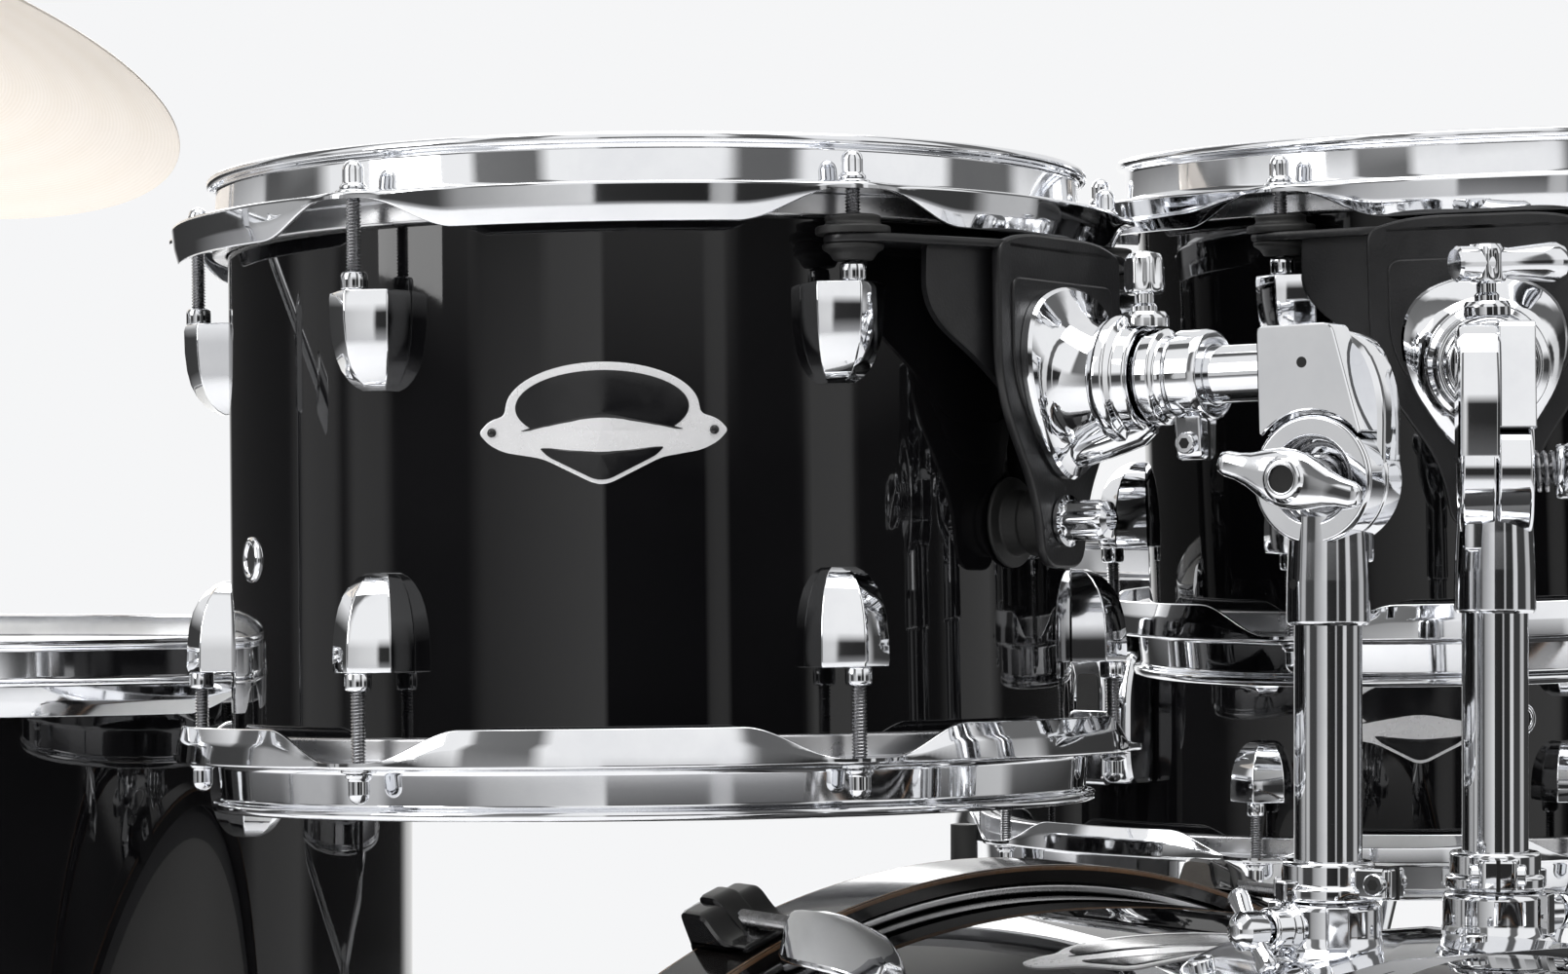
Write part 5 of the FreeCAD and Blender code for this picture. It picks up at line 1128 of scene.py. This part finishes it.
SPUR_R, SPUR_FOOT = 8.0, 13.0
SPUR_PITCH, SPUR_AIM = math.radians(50), math.radians(50)
pads = []
for side, word in ((-1, "left"), (1, "right")):
    pivot = Vector(joints[f"spur_{word}_fold"]["pos_m"])
    way = Vector((side * math.sin(SPUR_PITCH) * math.cos(SPUR_AIM),
                  -math.sin(SPUR_PITCH) * math.sin(SPUR_AIM),
                  -math.cos(SPUR_PITCH)))
    centre = middle("bass_shell")
    out = Vector((pivot.x - centre.x, 0, pivot.z - centre.z)).normalized()
    base = Vector((centre.x, pivot.y, centre.z)) + out * (bass["radius"] * MM)
    pad = eased([(22, -0.6), (22, 2.2), (18.5, 5.0), (12.5, 6.2), (11.5, 8.9), (0.4, 9.1)], 1.2, 4,
                closed=False)
    turn_out = out.to_track_quat("Z", "Y").to_matrix().to_4x4()
    spot = Matrix.Translation(base / MM) @ turn_out
    ears = [put(slab(eased([(-9, 0, 1), (9, 0, 1), (8, 17, 6), (-8, 17, 6)], 1, 4), low, low + 4, 1),
                spot @ TO_Y)
            for low in (-19.0, 15.0)]
    pads += [put(spun(pad, 48), spot)] + ears
    reach = (pivot.z / MM - SPUR_FOOT * math.sin(SPUR_PITCH)) / math.cos(SPUR_PITCH) - SPUR_FOOT / 2
    leg = eased([(0.4, -13.8), (9, -12.6), (13.4, -6), (13.8, 0), (13, 7), (10.5, 12), (8.8, 14), (8.6, 17),
                 (SPUR_R, 18),
                 (SPUR_R, reach * 0.5), (SPUR_R - 1.2, reach * 0.5 + 1.5), (SPUR_R - 1.2, reach - 26)], 1.0,
                3,
                closed=False)
    foot = eased([(SPUR_R - 1.2, reach - 27), (10.5, reach - 25), (12.4, reach - 8), (12.8, reach + 4),
                  (9.5, reach + 11), (4, reach + 12.8), (0.4, reach + 13)], 1.5, 3, closed=False)
    place = Matrix.Translation(pivot) @ way.to_track_quat("Z", "Y").to_matrix().to_4x4()
    clamp_ring = lathe(eased([(7.2, reach * 0.5 - 7), (11.2, reach * 0.5 - 7), (11.6, reach * 0.5),
                              (11.2, reach * 0.5 + 6), (6.6, reach * 0.5 + 6)], 0.8, 3), 40)
    make_piece(f"bass_spur_{word}", place,
               [(together([spun(leg, 40), clamp_ring]), chrome), (spun(foot, 40), rubber)],
               f"spur_{word}", [f"bass_spur_{word}"], crease=40, in_line=True)
make_piece("bass_spur_brackets", Matrix.Identity(4), [(together(pads), chrome)], "kit",
           ["bass_spur_brackets"], crease=40)

# ---- post base: a plated saddle on the bass shell with two receivers and their wing bolts ----

SADDLE = 3.6
POST_HALF = 36.0
saddle_line = eased([(-84, -22, 26), (-60, -39, 18), (60, -39, 18), (84, -22, 26), (84, 22, 26),
                     (60, 39, 18),
                     (-60, 39, 18), (-84, 22, 26)], 20, 8)
crest = middle("bass_shell").z / MM + bass["radius"]
receiver = lathe(eased([(11.3, -6), (21.5, -6), (21.0, -1.2), (18.2, 2.0), (17.4, 5.0), (17.4, 14.2),
                        (16.4, 15.8),
                        (11.3, 15.8)], 0.8, 3), 72)
steps = together([put(slab(eased([(12, -4.2), (19.6, -3.6), (19.6, 3.6), (12, 4.2)], 0.6, 3), 2, 15.6, 0.7),
                      spin("Z", a)) for a in (60, -60, 0)])
boss = spun(eased([(8.6, 12), (8.6, 17), (7.2, 19.5), (7.0, 25.5), (5.2, 26.5)], 0.8, 3, closed=False), 36)
bolt = spun([(3.0, 25), (3.0, 34.5)], 20)
hub = fluted([(5.6, 28, 0), (6.4, 29, 0), (6.4, 36, 0.2), (4.2, 38.4, 0), (1.5, 39, 0)], 6, 0.6, 36)
wings = slab(eased([(-15, -4.6, 4.5), (-7, -2.6, 4), (7, -2.6, 4), (15, -4.6, 4.5), (15.4, 4.6, 4.5),
                    (7, 2.6, 4),
                    (-7, 2.6, 4), (-15.4, 4.6, 4.5)], 4, 5), 29.2, 33.8, 1.6)
base_parts = [(wrapped(saddle_line, (0, 0), bass, Matrix.Identity(4), 0.1, SADDLE), chrome)]
to_world = Matrix(((0, 1, 0, 0), (0, 0, 1, 0), (1, 0, 0, 0), (0, 0, 0, 1)))
base_parts[0] = (put(base_parts[0][0], shift(0, 0, crest - bass["radius"]) @ to_world), chrome)
for side in (-1, 1):
    spot = shift(side * POST_HALF, 0, crest)
    out = spot @ shift(0, 0, 8) @ spin("Y", 90 * side)
    base_parts += [(put(together([receiver, put(steps, spin("Z", 0 if side > 0 else 180))]), spot), chrome),
                   (put(together([boss, bolt, hub, put(wings, spin("Z", 35))]), out), chrome)]
for x, y in ((-70, -24), (-70, 24), (70, -24), (70, 24), (0, -30), (0, 30)):
    lean = math.degrees(x / (bass["radius"] + SADDLE))
    # each screw's dark hexagon is painted shade for its socket
    head, recess_shade = screw_head(4.4, 2.4)
    spot = shift(0, 0, crest - bass["radius"]) @ spin("Y", lean) @ shift(0, y, bass["radius"] + SADDLE - 0.2)
    base_parts += [(put(head, spot), chrome), (put(recess_shade, spot), hole_shade)]
make_piece("post_base", Matrix.Identity(4), base_parts, "kit", ["post_base"], crease=40)

# the bass drum's own badge lies slantwise across the top of its shell, beside the saddle
BADGE_SLANT = math.radians(-57)
slant = 1.15 * np.array(((math.cos(BADGE_SLANT), math.sin(BADGE_SLANT)),
                         (-math.sin(BADGE_SLANT), math.cos(BADGE_SLANT))))
bass_badge = [(wrapped(line @ slant, np.array(core, float) @ slant, bass, Matrix.Identity(4), under, over),
               use)
              for line, core, under, over, use in ((plate_line, (0, -2), -0.2, BADGE_PLATE, badge_metal),
                                                   (field_line, (0, 4), 0.4, BADGE_FIELD, badge_enamel),
                                                   (foot_line, (0, -10), 0.4, BADGE_FIELD, badge_enamel))]
make_piece("bass_badge", bass["place"] @ spin("Z", -11) @ shift(0, 0, 70 * MM), bass_badge, "kit",
           crease=50)

# ---- floor tom legs: knurled steel rods in cast clamps, on ribbed rubber feet ----

LEG_R, LEG_OUT, LEG_LONG = 6.3, 31.0, 455.0
LEG_ANGLES = {"a": 0, "b": 135, "c": 225}
floor_drum = DRUMS["floor_tom"]
clamp_low = -floor_drum["depth"] / 2 + 62
clamp_parts, bolt_parts = [], []
LEG_CLAMP = [(-17, 0.5, 1), (17, 0.5, 1), (15.5, 14, 6), (12.4, 24, 4), (12.4, 36, 8), (-12.4, 36, 8),
             (-12.4, 24, 4),
             (-15.5, 14, 6)]
for angle in LEG_ANGLES.values():
    place = spin("Z", angle) @ shift(floor_drum["radius"], 0, clamp_low) @ spin("Z", -90)
    clamp_parts.append(put(slab(eased(LEG_CLAMP, 3, 4), 0, 58, 2.4), place))
    clamp_parts.append(put(slab(eased([(-19, 0.2, 1), (19, 0.2, 1), (17, 5.5, 3), (-17, 5.5, 3)], 1, 3), -8,
                                66, 1.6),
                           place))
    turn_bolt = place @ shift(12, LEG_OUT, 29) @ spin("Y", 90)
    bolt_parts.append(put(together([spun([(3.0, 0), (3.0, 16)], 20),
                                    fluted([(5.5, 9, 0), (6.4, 10, 0), (6.4, 18, 0.2), (3.0, 20, 0)], 6, 0.6,
                                           36),
                                    put(slab(eased([(-17, -4.4, 4), (-8, -2.8, 4), (8, -2.8, 4),
                                                    (17, -4.4, 4),
                                                    (17, 4.4, 4), (8, 2.8, 4), (-8, 2.8, 4), (-17, 4.4, 4)],
                                                   4, 4),
                                             11.5, 16.5, 1.7), spin("Z", 20))]), turn_bolt))
make_piece("floor_tom_leg_brackets", floor_drum["place"], [(together(clamp_parts + bolt_parts), chrome)],
           "kit",
           ["floor_tom_leg_brackets"], crease=36)
leg_rod = together([spun(eased([(LEG_R, 20), (LEG_R, LEG_LONG - 2), (LEG_R - 2.5, LEG_LONG),
                                (0.4, LEG_LONG)], 1, 2,
                               closed=False), 32),
                    fluted([(LEG_R + 0.02, 205, 0), (LEG_R + 0.35, 206, 0), (LEG_R + 0.35, 207, 1),
                            (LEG_R + 0.35, 370, 1), (LEG_R + 0.02, 372, 0)], 26, 0.4, 104)])
leg_foot = lathe(eased([(0.4, 0), (12.6, 0), (14, 1.6), (14, 4.4), (12.2, 5.2), (12.2, 6.8), (13.6, 7.6),
                        (13.2, 10.4),
                        (11.6, 11.2), (11.4, 12.8), (12.2, 13.6), (10.4, 21), (8.8, 23), (0.4, 23)], 0.6, 2),
                 40)
for word in LEG_ANGLES:
    low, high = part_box(f"floor_tom_leg_{word}")
    place = Matrix.Translation(((low.x + high.x) / 2, (low.y + high.y) / 2, 0))
    make_piece(f"floor_tom_leg_{word}", place, [(leg_rod, chrome), (leg_foot, rubber)], f"floor_leg_{word}",
               [f"floor_tom_leg_{word}"], crease=36)

# ---- snare strainer: a cast throw-off with its lever and tension screw, and the coiled wires ----

snare = DRUMS["snare"]
FACE_X = snare["radius"] + 21.0
LEVER_GAP, LEVER_WALL = 0.4, 6.0
casting = put(slab(eased([(snare["radius"] + 0.8, -31, 1), (FACE_X - 3, -31, 4), (FACE_X, -20, 6),
                          (FACE_X, 12, 8),
                          (FACE_X - 5, 30.5, 6), (snare["radius"] + 0.8, 30.5, 1)], 3, 5), -16.5, 16.5, 3.0),
              TO_Y)
groove = put(slab(eased([(FACE_X - 6, -26, 2), (FACE_X + 0.2, -26, 1), (FACE_X + 0.2, 8, 1),
                         (FACE_X - 6, 8, 2)], 1, 3),
                  -9.6, 9.6, 0.6), TO_Y)
screw = put(fluted([(4.0, 28, 0), (4.0, 33, 0), (6.0, 34, 0), (6.8, 35, 0.6), (6.8, 42, 1), (6.0, 43.4, 0),
                    (1.0, 44, 0)], 14, 0.7, 56), shift(snare["radius"] + 10, 0, 0))
make_piece("snare_strainer", snare["place"],
           [(together([casting, screw]), chrome), (groove, black_enamel)], "snare_drum",
           ["snare_strainer"], crease=36)
foot_z = -31 + LEVER_WALL / 2
pivot_x = FACE_X + LEVER_GAP + LEVER_WALL / 2
lever = put(slab(eased([(pivot_x - 3, foot_z - 1, 1), (pivot_x, foot_z - 3, 1.5),
                        (pivot_x + 3, foot_z - 1, 1),
                        (pivot_x + 3, 20, 10), (pivot_x + 11, 31, 3), (pivot_x + 6, 32.5, 2),
                        (pivot_x - 3, 24, 8)],
                       1, 4), -8.2, 8.2, 1.4), TO_Y)
barrel = put(spun(eased([(3, -8.4), (3, 8.4)], 0.6, 2, closed=False), 24),
             shift(pivot_x, 0, foot_z) @ spin("X", 90))
grip = put(slab(eased([(-6, -12, 3), (6, -12, 3), (6, 16, 3), (-6, 16, 3)], 2, 3), 0, 1.2, 0.5),
           shift(pivot_x + 3, 0, 4) @ TO_X)
make_piece("snare_lever", snare["place"], [(together([lever, barrel]), chrome), (grip, rubber)],
           "snare_lever",
           ["snare_lever"], crease=40)

wire_steel = finish_of("wire_steel", (0.55, 0.55, 0.56), (0.42, 0.42, 0.43), 0.2, 0.36, metallic=1.0,
                       scale=90.0)
STRANDS, WIRE_PITCH, COIL_R, WIRE_R = 14, 3.4, 0.95, 0.32
half_run = snare["radius"] - 34
wire_level = -(snare["depth"] / 2 + 0.9 + COIL_R)
coil = np.arange(-half_run, half_run, WIRE_PITCH / 7)
strand = tube_along(np.stack([coil, COIL_R * np.cos(coil / WIRE_PITCH * math.tau),
                              COIL_R * np.sin(coil / WIRE_PITCH * math.tau)], -1), WIRE_R, 3)
strands = [put(strand, shift(0, y, wire_level)) for y in np.linspace(-19.5, 19.5, STRANDS)]
plates = [slab(eased([(x - 9, -22, 2), (x + 9, -22, 2), (x + 9, 22, 2), (x - 9, 22, 2)], 2, 3),
               wire_level - 1.0,
               wire_level + 0.9, 0.4) for x in (-half_run - 6, half_run + 6)]
make_piece("snare_wires", snare["place"], [(together(strands + plates), wire_steel)], "snare_drum",
           ["snare_wires"], crease=50)

# ---- snare basket and stand: three padded arms on a tilter, over a braced tripod ----

RIM_LEVEL = 539.0
BASKET_DROP, CHEEK = 74.0, 7.0
BASKET_TIP = snare["radius"] + 20.4
stand_turn = spin("Z", -166 - 30)
spot = Vector((snare["place"].translation.x, snare["place"].translation.y, 0))
snare_column = Matrix.Translation(spot) @ stand_turn
PIVOT = RIM_LEVEL - BASKET_DROP - 12 - 24 + 8


def run_of(points, bend, steps=6):
    """A smooth run of points in the XZ plane."""
    flat = eased(points, bend, steps, closed=False)
    return np.column_stack([flat[:, 0], np.zeros(len(flat)), flat[:, 1]])


arm_run = run_of([(10, RIM_LEVEL - 76), (snare["radius"] - 10, RIM_LEVEL - 27),
                  (BASKET_TIP + 3.6, RIM_LEVEL - 17),
                  (BASKET_TIP + 3.6, RIM_LEVEL + 20)], 26)
arm = tube_along(arm_run, 6.2, 18, 0.8)
hook = tube_along(run_of([(snare["radius"] - 4, RIM_LEVEL - 7.4), (BASKET_TIP - 4, RIM_LEVEL - 7.4),
                          (BASKET_TIP + 4.2, RIM_LEVEL - 6), (BASKET_TIP + 4.2, RIM_LEVEL + 25)], 8), 6.4,
                  18, 1.05)
hub = lathe(eased([(6, RIM_LEVEL - 86), (16, RIM_LEVEL - 86), (19, RIM_LEVEL - 82), (19, RIM_LEVEL - 70),
                   (15, RIM_LEVEL - 65), (9, RIM_LEVEL - 63.5), (6, RIM_LEVEL - 64)], 1.5, 4), 56)
tab = put(slab(eased([(-8, PIVOT, 4), (0, PIVOT - 8, 4), (8, PIVOT, 4), (8, RIM_LEVEL - 84, 1),
                      (-8, RIM_LEVEL - 84, 1)], 2, 4), -4.8, 4.8, 1.0), TO_Y)
make_piece("snare_basket", snare_column,
           [(together([around(arm, 3), hub, tab]), chrome), (around(hook, 3), rubber)], "snare_drum",
           ["snare_basket"], crease=40, in_line=True)


def tripod(reach, rise, column_r, foot_r):
    """Braced legs from a sliding collar to rubber feet: (metal shapes, rubber shapes)."""
    leg = tube_along(run_of([(column_r + 1, rise - 6), (column_r + 14, rise - 8), (reach - 22, 17),
                             (reach + 4, 12)],
                            18), 7.0, 16, 0.72)
    mid = (column_r + reach) * 0.5
    brace = tube_along(run_of([(column_r, 84), (column_r + 12, 84), (mid, 17 + (rise - 24) * (reach - mid)
                                                                    / (reach - column_r))], 6), 4.6, 14, 0.7)
    knuckle = put(spun(eased([(0.4, -8), (5.2, -8), (5.6, -6), (5.6, 6), (5.2, 8), (0.4, 8)], 0.5, 2,
                             closed=False), 24),
                  shift(column_r + 10, 0, rise - 7) @ spin("X", 90))
    shoe = put(spun(eased([(0.4, 0), (foot_r - 1.5, 0), (foot_r, 1.6), (foot_r, 9), (foot_r - 2, 18),
                           (foot_r - 5, 21.6), (0.4, 22)], 1.4, 3, closed=False), 36), shift(reach, 0, 0))
    return together([around(leg, 3), around(brace, 3), around(knuckle, 3)]), around(shoe, 3)


def wing_bolt(reach, level, turn_by):
    """A clamp's wing bolt on the side of a tube."""
    shape = together([spun([(3.2, 0), (3.2, 15)], 20),
                      spun(eased([(7.5, -4), (7.5, 4), (6, 6)], 1, 3, closed=False), 30),
                      fluted([(5.0, 9, 0), (6.2, 10, 0), (6.2, 17, 0.2), (2.0, 19, 0)], 6, 0.5, 36),
                      slab(eased([(-16, -4.2, 4), (-7, -2.6, 4), (7, -2.6, 4), (16, -4.2, 4), (16, 4.2, 4),
                                  (7, 2.6, 4),
                                  (-7, 2.6, 4), (-16, 4.2, 4)], 4, 4), 11, 15.6, 1.6)])
    return put(shape, spin("Z", turn_by) @ shift(reach, 0, level) @ TO_X)


top = PIVOT - 14
column = spun(eased([(12.7, 58), (12.7, 330), (9.6, 331), (9.6, top - 14), (11.8, top - 12), (11.8, top)],
                    0.6, 2,
                    closed=False), 48)
sleeves = together([lathe(eased([(12.6, 64), (18.4, 66), (18.4, 92), (12.6, 94)], 2, 4), 48),
                    lathe(eased([(12.6, 163), (18.6, 165), (18.6, 191), (12.6, 193)], 2, 4), 48),
                    lathe(eased([(9.5, 316), (17.2, 316), (17.2, 342), (13.2, 347), (9.5, 347)], 2, 4), 48)])
cheeks = [put(slab(eased([(-10, top - 10, 3), (10, top - 10, 3), (9, PIVOT + 9, 7), (-9, PIVOT + 9, 7)], 2,
                         4), low,
                   low + CHEEK, 1.2), TO_Y) for low in (5.4, -5.4 - CHEEK)]
axle = put(spun(eased([(3.9, -15.4), (3.9, 15.4)], 0.6, 2, closed=False), 28),
           shift(0, 0, PIVOT) @ spin("X", 90))
nut = put(fluted([(7, 12.6, 0), (7.4, 13.4, 1), (7.4, 16, 1), (4, 17, 0)], 10, 0.8, 60),
          shift(0, 0, PIVOT) @ spin("X", 90))
metal, shoes = tripod(250.0, 185.0, 12.7, 11.0)
make_piece("snare_stand", snare_column,
           [(together([column, sleeves, axle, nut, metal, wing_bolt(16, 178, 60),
                       wing_bolt(15, 330, 90)] + cheeks),
             chrome), (shoes, rubber)], "kit", ["snare_stand"], crease=40, in_line=True)

# ---- crash cymbal: spun, hammered and lathed bronze, its grooves running round the bow ----

CRASH_R, BELL_R, BOW, BELL = 203.2, 62.0, 21.0, 22.0
CRASH_WALL, CRASH_HOLE = 1.2, 6.5
CROWN = BOW + BELL
pivot = Vector(joints["cymbal_spin"]["pos_m"])
lean = Vector(joints["cymbal_spin"]["axis"]).normalized()
disc_place = Matrix.Translation(pivot) @ Vector((0, 0, 1)).rotation_difference(lean).to_matrix().to_4x4()
grooves, grooves_in, grooves_out = new_group("lathe_grooves", [("Spacing", 0.0014), ("Waver", 0.4)],
                                             ["Height", "Band"])
spot = grooves.nodes.new("ShaderNodeTexCoord")
level = add_node(grooves, "Mapping", Rotation=disc_place.inverted().to_euler())
grooves.links.new(spot.outputs["Object"], level.inputs["Vector"])
parts = grooves.nodes.new("ShaderNodeSeparateXYZ")
grooves.links.new(level.outputs[0], parts.inputs[0])
reach = calc(grooves, "SQRT", calc(grooves, "ADD",
                                   calc(grooves, "MULTIPLY", parts.outputs[0], parts.outputs[0]),
                                   calc(grooves, "MULTIPLY", parts.outputs[1], parts.outputs[1])))
waver = add_node(grooves, "TexNoise", Scale=38.0, Detail=2.0)
grooves.links.new(spot.outputs["Object"], waver.inputs["Vector"])
phase = calc(grooves, "ADD", calc(grooves, "DIVIDE", reach, grooves_in.outputs["Spacing"]),
             calc(grooves, "MULTIPLY", waver.outputs[0], grooves_in.outputs["Waver"]))
ridge = calc(grooves, "MULTIPLY_ADD", calc(grooves, "SINE", calc(grooves, "MULTIPLY", phase, math.tau)), 0.5,
             0.5)
slow = calc(grooves, "MULTIPLY_ADD", calc(grooves, "SINE", calc(grooves, "MULTIPLY", reach, 330.0)), 0.5,
            0.5)
grooves.links.new(ridge, grooves_out.inputs["Height"])
grooves.links.new(calc(grooves, "MULTIPLY_ADD", slow, 0.3, calc(grooves, "MULTIPLY", ridge, 0.5)),
                  grooves_out.inputs["Band"])
cymbal_bronze = finish_of("cymbal_bronze", (0.88, 0.80, 0.70), (0.92, 0.86, 0.80), 0.32, 0.42, metallic=1.0,
                          scale=7.0, ripple=0.10, depth=0.0003)
tree = cymbal_bronze.node_tree
turned_marks = tree.nodes.new("ShaderNodeGroup")
turned_marks.node_tree = grooves
turned_marks.inputs["Spacing"].default_value = 0.0016
turned_marks.inputs["Waver"].default_value = 0.3
groove_bump = add_node(tree, "Bump", Strength=0.14, Distance=0.0002)
tree.links.new(turned_marks.outputs["Height"], groove_bump.inputs["Height"])
tree.links.new(tree.nodes["Bump"].outputs[0], groove_bump.inputs["Normal"])
tree.links.new(groove_bump.outputs[0], tree.nodes["Principled BSDF"].inputs["Normal"])
paler = add_node(tree, "MixRGB", i2=(0.93, 0.87, 0.80, 1))
tree.links.new(turned_marks.outputs["Band"], paler.inputs[0])
tree.links.new(tree.nodes["Principled BSDF"].inputs["Base Color"].links[0].from_socket, paler.inputs[1])
tree.links.new(paler.outputs[0], tree.nodes["Principled BSDF"].inputs["Base Color"])

upper = eased([(CRASH_R, 0, 0), (CRASH_R * 0.85, BOW * 0.30, 30), (CRASH_R * 0.62, BOW * 0.67, 40),
               (BELL_R + 4, BOW - 0.5, 9), (BELL_R * 0.86, BOW + BELL * 0.5, 10),
               (BELL_R * 0.55, BOW + BELL * 0.93, 12),
               (BELL_R * 0.25, CROWN, 6), (CRASH_HOLE, CROWN, 0)], 5, 8, closed=False)
under = upper[::-1] - np.array((0, CRASH_WALL))
lip = np.array([(CRASH_R + 0.25, -0.3), (CRASH_R + 0.25, -0.9)])
bronze = lathe(np.concatenate([upper, under, lip[::-1]])[::-1], 360)
make_piece("crash_cymbal", disc_place, [(bronze, cymbal_bronze)], "crash_cymbal",
           ["crash_cymbal"], crease=50, in_line=True)

# ---- boom: the arm with its counterweight, the tilter, and felts, rod and wing nut for the cymbal ----

felt = finish_of("felt", (0.16, 0.16, 0.165), (0.09, 0.09, 0.095), 0.9, 1.0, scale=160.0, ripple=0.8,
                 depth=0.0006,
                 Sheen_Weight=0.4)
head = Vector(joints["boom_tilt"]["pos_m"])
TILTER_DROP, BOOM_R, BOOM_BACK = 40.0, 6.35, 130.0
ball = disc_place @ Vector((0, 0, -TILTER_DROP * MM))
along = (ball - head).normalized()
length = (ball - head).length / MM
cross = Vector(joints["boom_tilt"]["axis"]).normalized()
boom_place = axes_at(head, along, cross, along.cross(cross))
boom_tube = put(spun(eased([(BOOM_R, -BOOM_BACK + 30), (BOOM_R, length - 12), (BOOM_R + 2.6, length - 10),
                            (BOOM_R + 2.6, length - 1)], 0.8, 3, closed=False), 36), TO_X)
weight = put(lathe(eased([(0.4, -BOOM_BACK), (13, -BOOM_BACK), (15.2, -BOOM_BACK + 3),
                          (15.2, -BOOM_BACK + 42),
                          (12, -BOOM_BACK + 46), (0.4, -BOOM_BACK + 46)], 2, 4), 48), TO_X)
hub = put(fluted([(13.4, -6, 0), (15.8, -5, 0.6), (15.8, 5, 0.6), (13.4, 6, 0)], 24, 0.6, 96), spin("X", 90))
to_boom = boom_place.inverted() @ disc_place
for column in range(3):
    to_boom[column][3] /= MM
top = CROWN + 0.4 + 10
rod = put(threaded(-TILTER_DROP + 10, CROWN + 33, 4.05, 1.25), to_boom)
tilter = put(together([spun(eased([(3, -53), (9, -52), (13, -47), (13, -36), (9, -29), (6, -26), (5.6, -18)],
                                  2, 4,
                                  closed=False), 40),
                       put(spun(eased([(9, -10), (10, -9), (10, 9), (9, 10)], 0.8, 2, closed=False), 40),
                           shift(0, 0, -TILTER_DROP) @ spin("X", 90)),
                       lathe(eased([(4.2, CROWN - CRASH_WALL - 16), (16, CROWN - CRASH_WALL - 13.4),
                                    (16.5, CROWN - CRASH_WALL - 11.6), (4.2, CROWN - CRASH_WALL - 10.6)],
                                   0.4, 2), 40)]),
             to_boom)
wings = put(slab(eased([(-19, 0, 4), (-15, 8, 4), (-6, 5, 3), (6, 5, 3), (15, 8, 4), (19, 0, 4),
                        (13, -1.2, 3),
                        (-13, -1.2, 3)], 3, 5), -3.0, 3.0, 1.4), to_boom @ shift(0, 0, top) @ TO_Y)
cap = put(lathe(eased([(4.2, 0), (9, 0), (9, 7), (6, 10.6), (4.6, 12), (4.2, 12)], 0.7, 3), 36),
          to_boom @ shift(0, 0, top))
pads = [put(lathe(eased([(4.6, 0), (17, 0), (17, 9.8), (4.6, 9.8)], 2.2, 4), 40), to_boom @ shift(0, 0, z))
        for z in (CROWN + 0.45, CROWN - CRASH_WALL - 10.4)]
make_piece("crash_boom", boom_place,
           [(together([boom_tube, weight, hub, tilter, wings, cap]), chrome), (rod, thread_steel),
            (together(pads), felt)], "crash_boom", ["crash_boom"], crease=40, in_line=True)

# ---- crash stand: telescoping tubes over a braced tripod, with a split tilter for the boom ----

BOOM_TALL = head.z / MM
level_out = Vector((along.x, along.y, 0)).normalized()
stand_place = axes_at((head.x, head.y, 0), level_out, Vector((0, 0, 1)).cross(level_out), (0, 0, 1))
tubes = spun(eased([(12.7, 58), (12.7, 420), (9.6, 421), (9.6, BOOM_TALL - 32), (12, BOOM_TALL - 30),
                    (12, BOOM_TALL - 21)], 0.6, 2, closed=False), 48)
sleeves = together([lathe(eased([(12.6, 64), (18.4, 66), (18.4, 92), (12.6, 94)], 2, 4), 48),
                    lathe(eased([(12.6, 228), (18.6, 230), (18.6, 256), (12.6, 258)], 2, 4), 48),
                    lathe(eased([(9.5, 404), (17.2, 404), (17.2, 432), (13.2, 438), (9.5, 438)], 2, 4), 48)])
cheeks = [put(slab(eased([(-12, BOOM_TALL - 38, 4), (12, BOOM_TALL - 38, 4), (11, BOOM_TALL + 12, 9),
                          (-11, BOOM_TALL + 12, 9)], 2, 4), low, low + CHEEK, 1.4), TO_Y)
          for low in (6.4, -6.4 - CHEEK)]
axle = put(spun(eased([(3.9, -16.4), (3.9, 16.4)], 0.6, 2, closed=False), 28),
           shift(0, 0, BOOM_TALL) @ spin("X", 90))
metal, shoes = tripod(300.0, 250.0, 12.7, 11.0)
make_piece("crash_stand", stand_place,
           [(together([tubes, sleeves, axle, metal, wing_bolt(16, 243, 60), wing_bolt(15, 418, 90),
                       put(wing_bolt(0, 0, 0), shift(0, 13.6, BOOM_TALL) @ spin("Z", 90))] + cheeks),
             chrome),
            (shoes, rubber)], "kit", ["crash_stand"], crease=40, in_line=True)
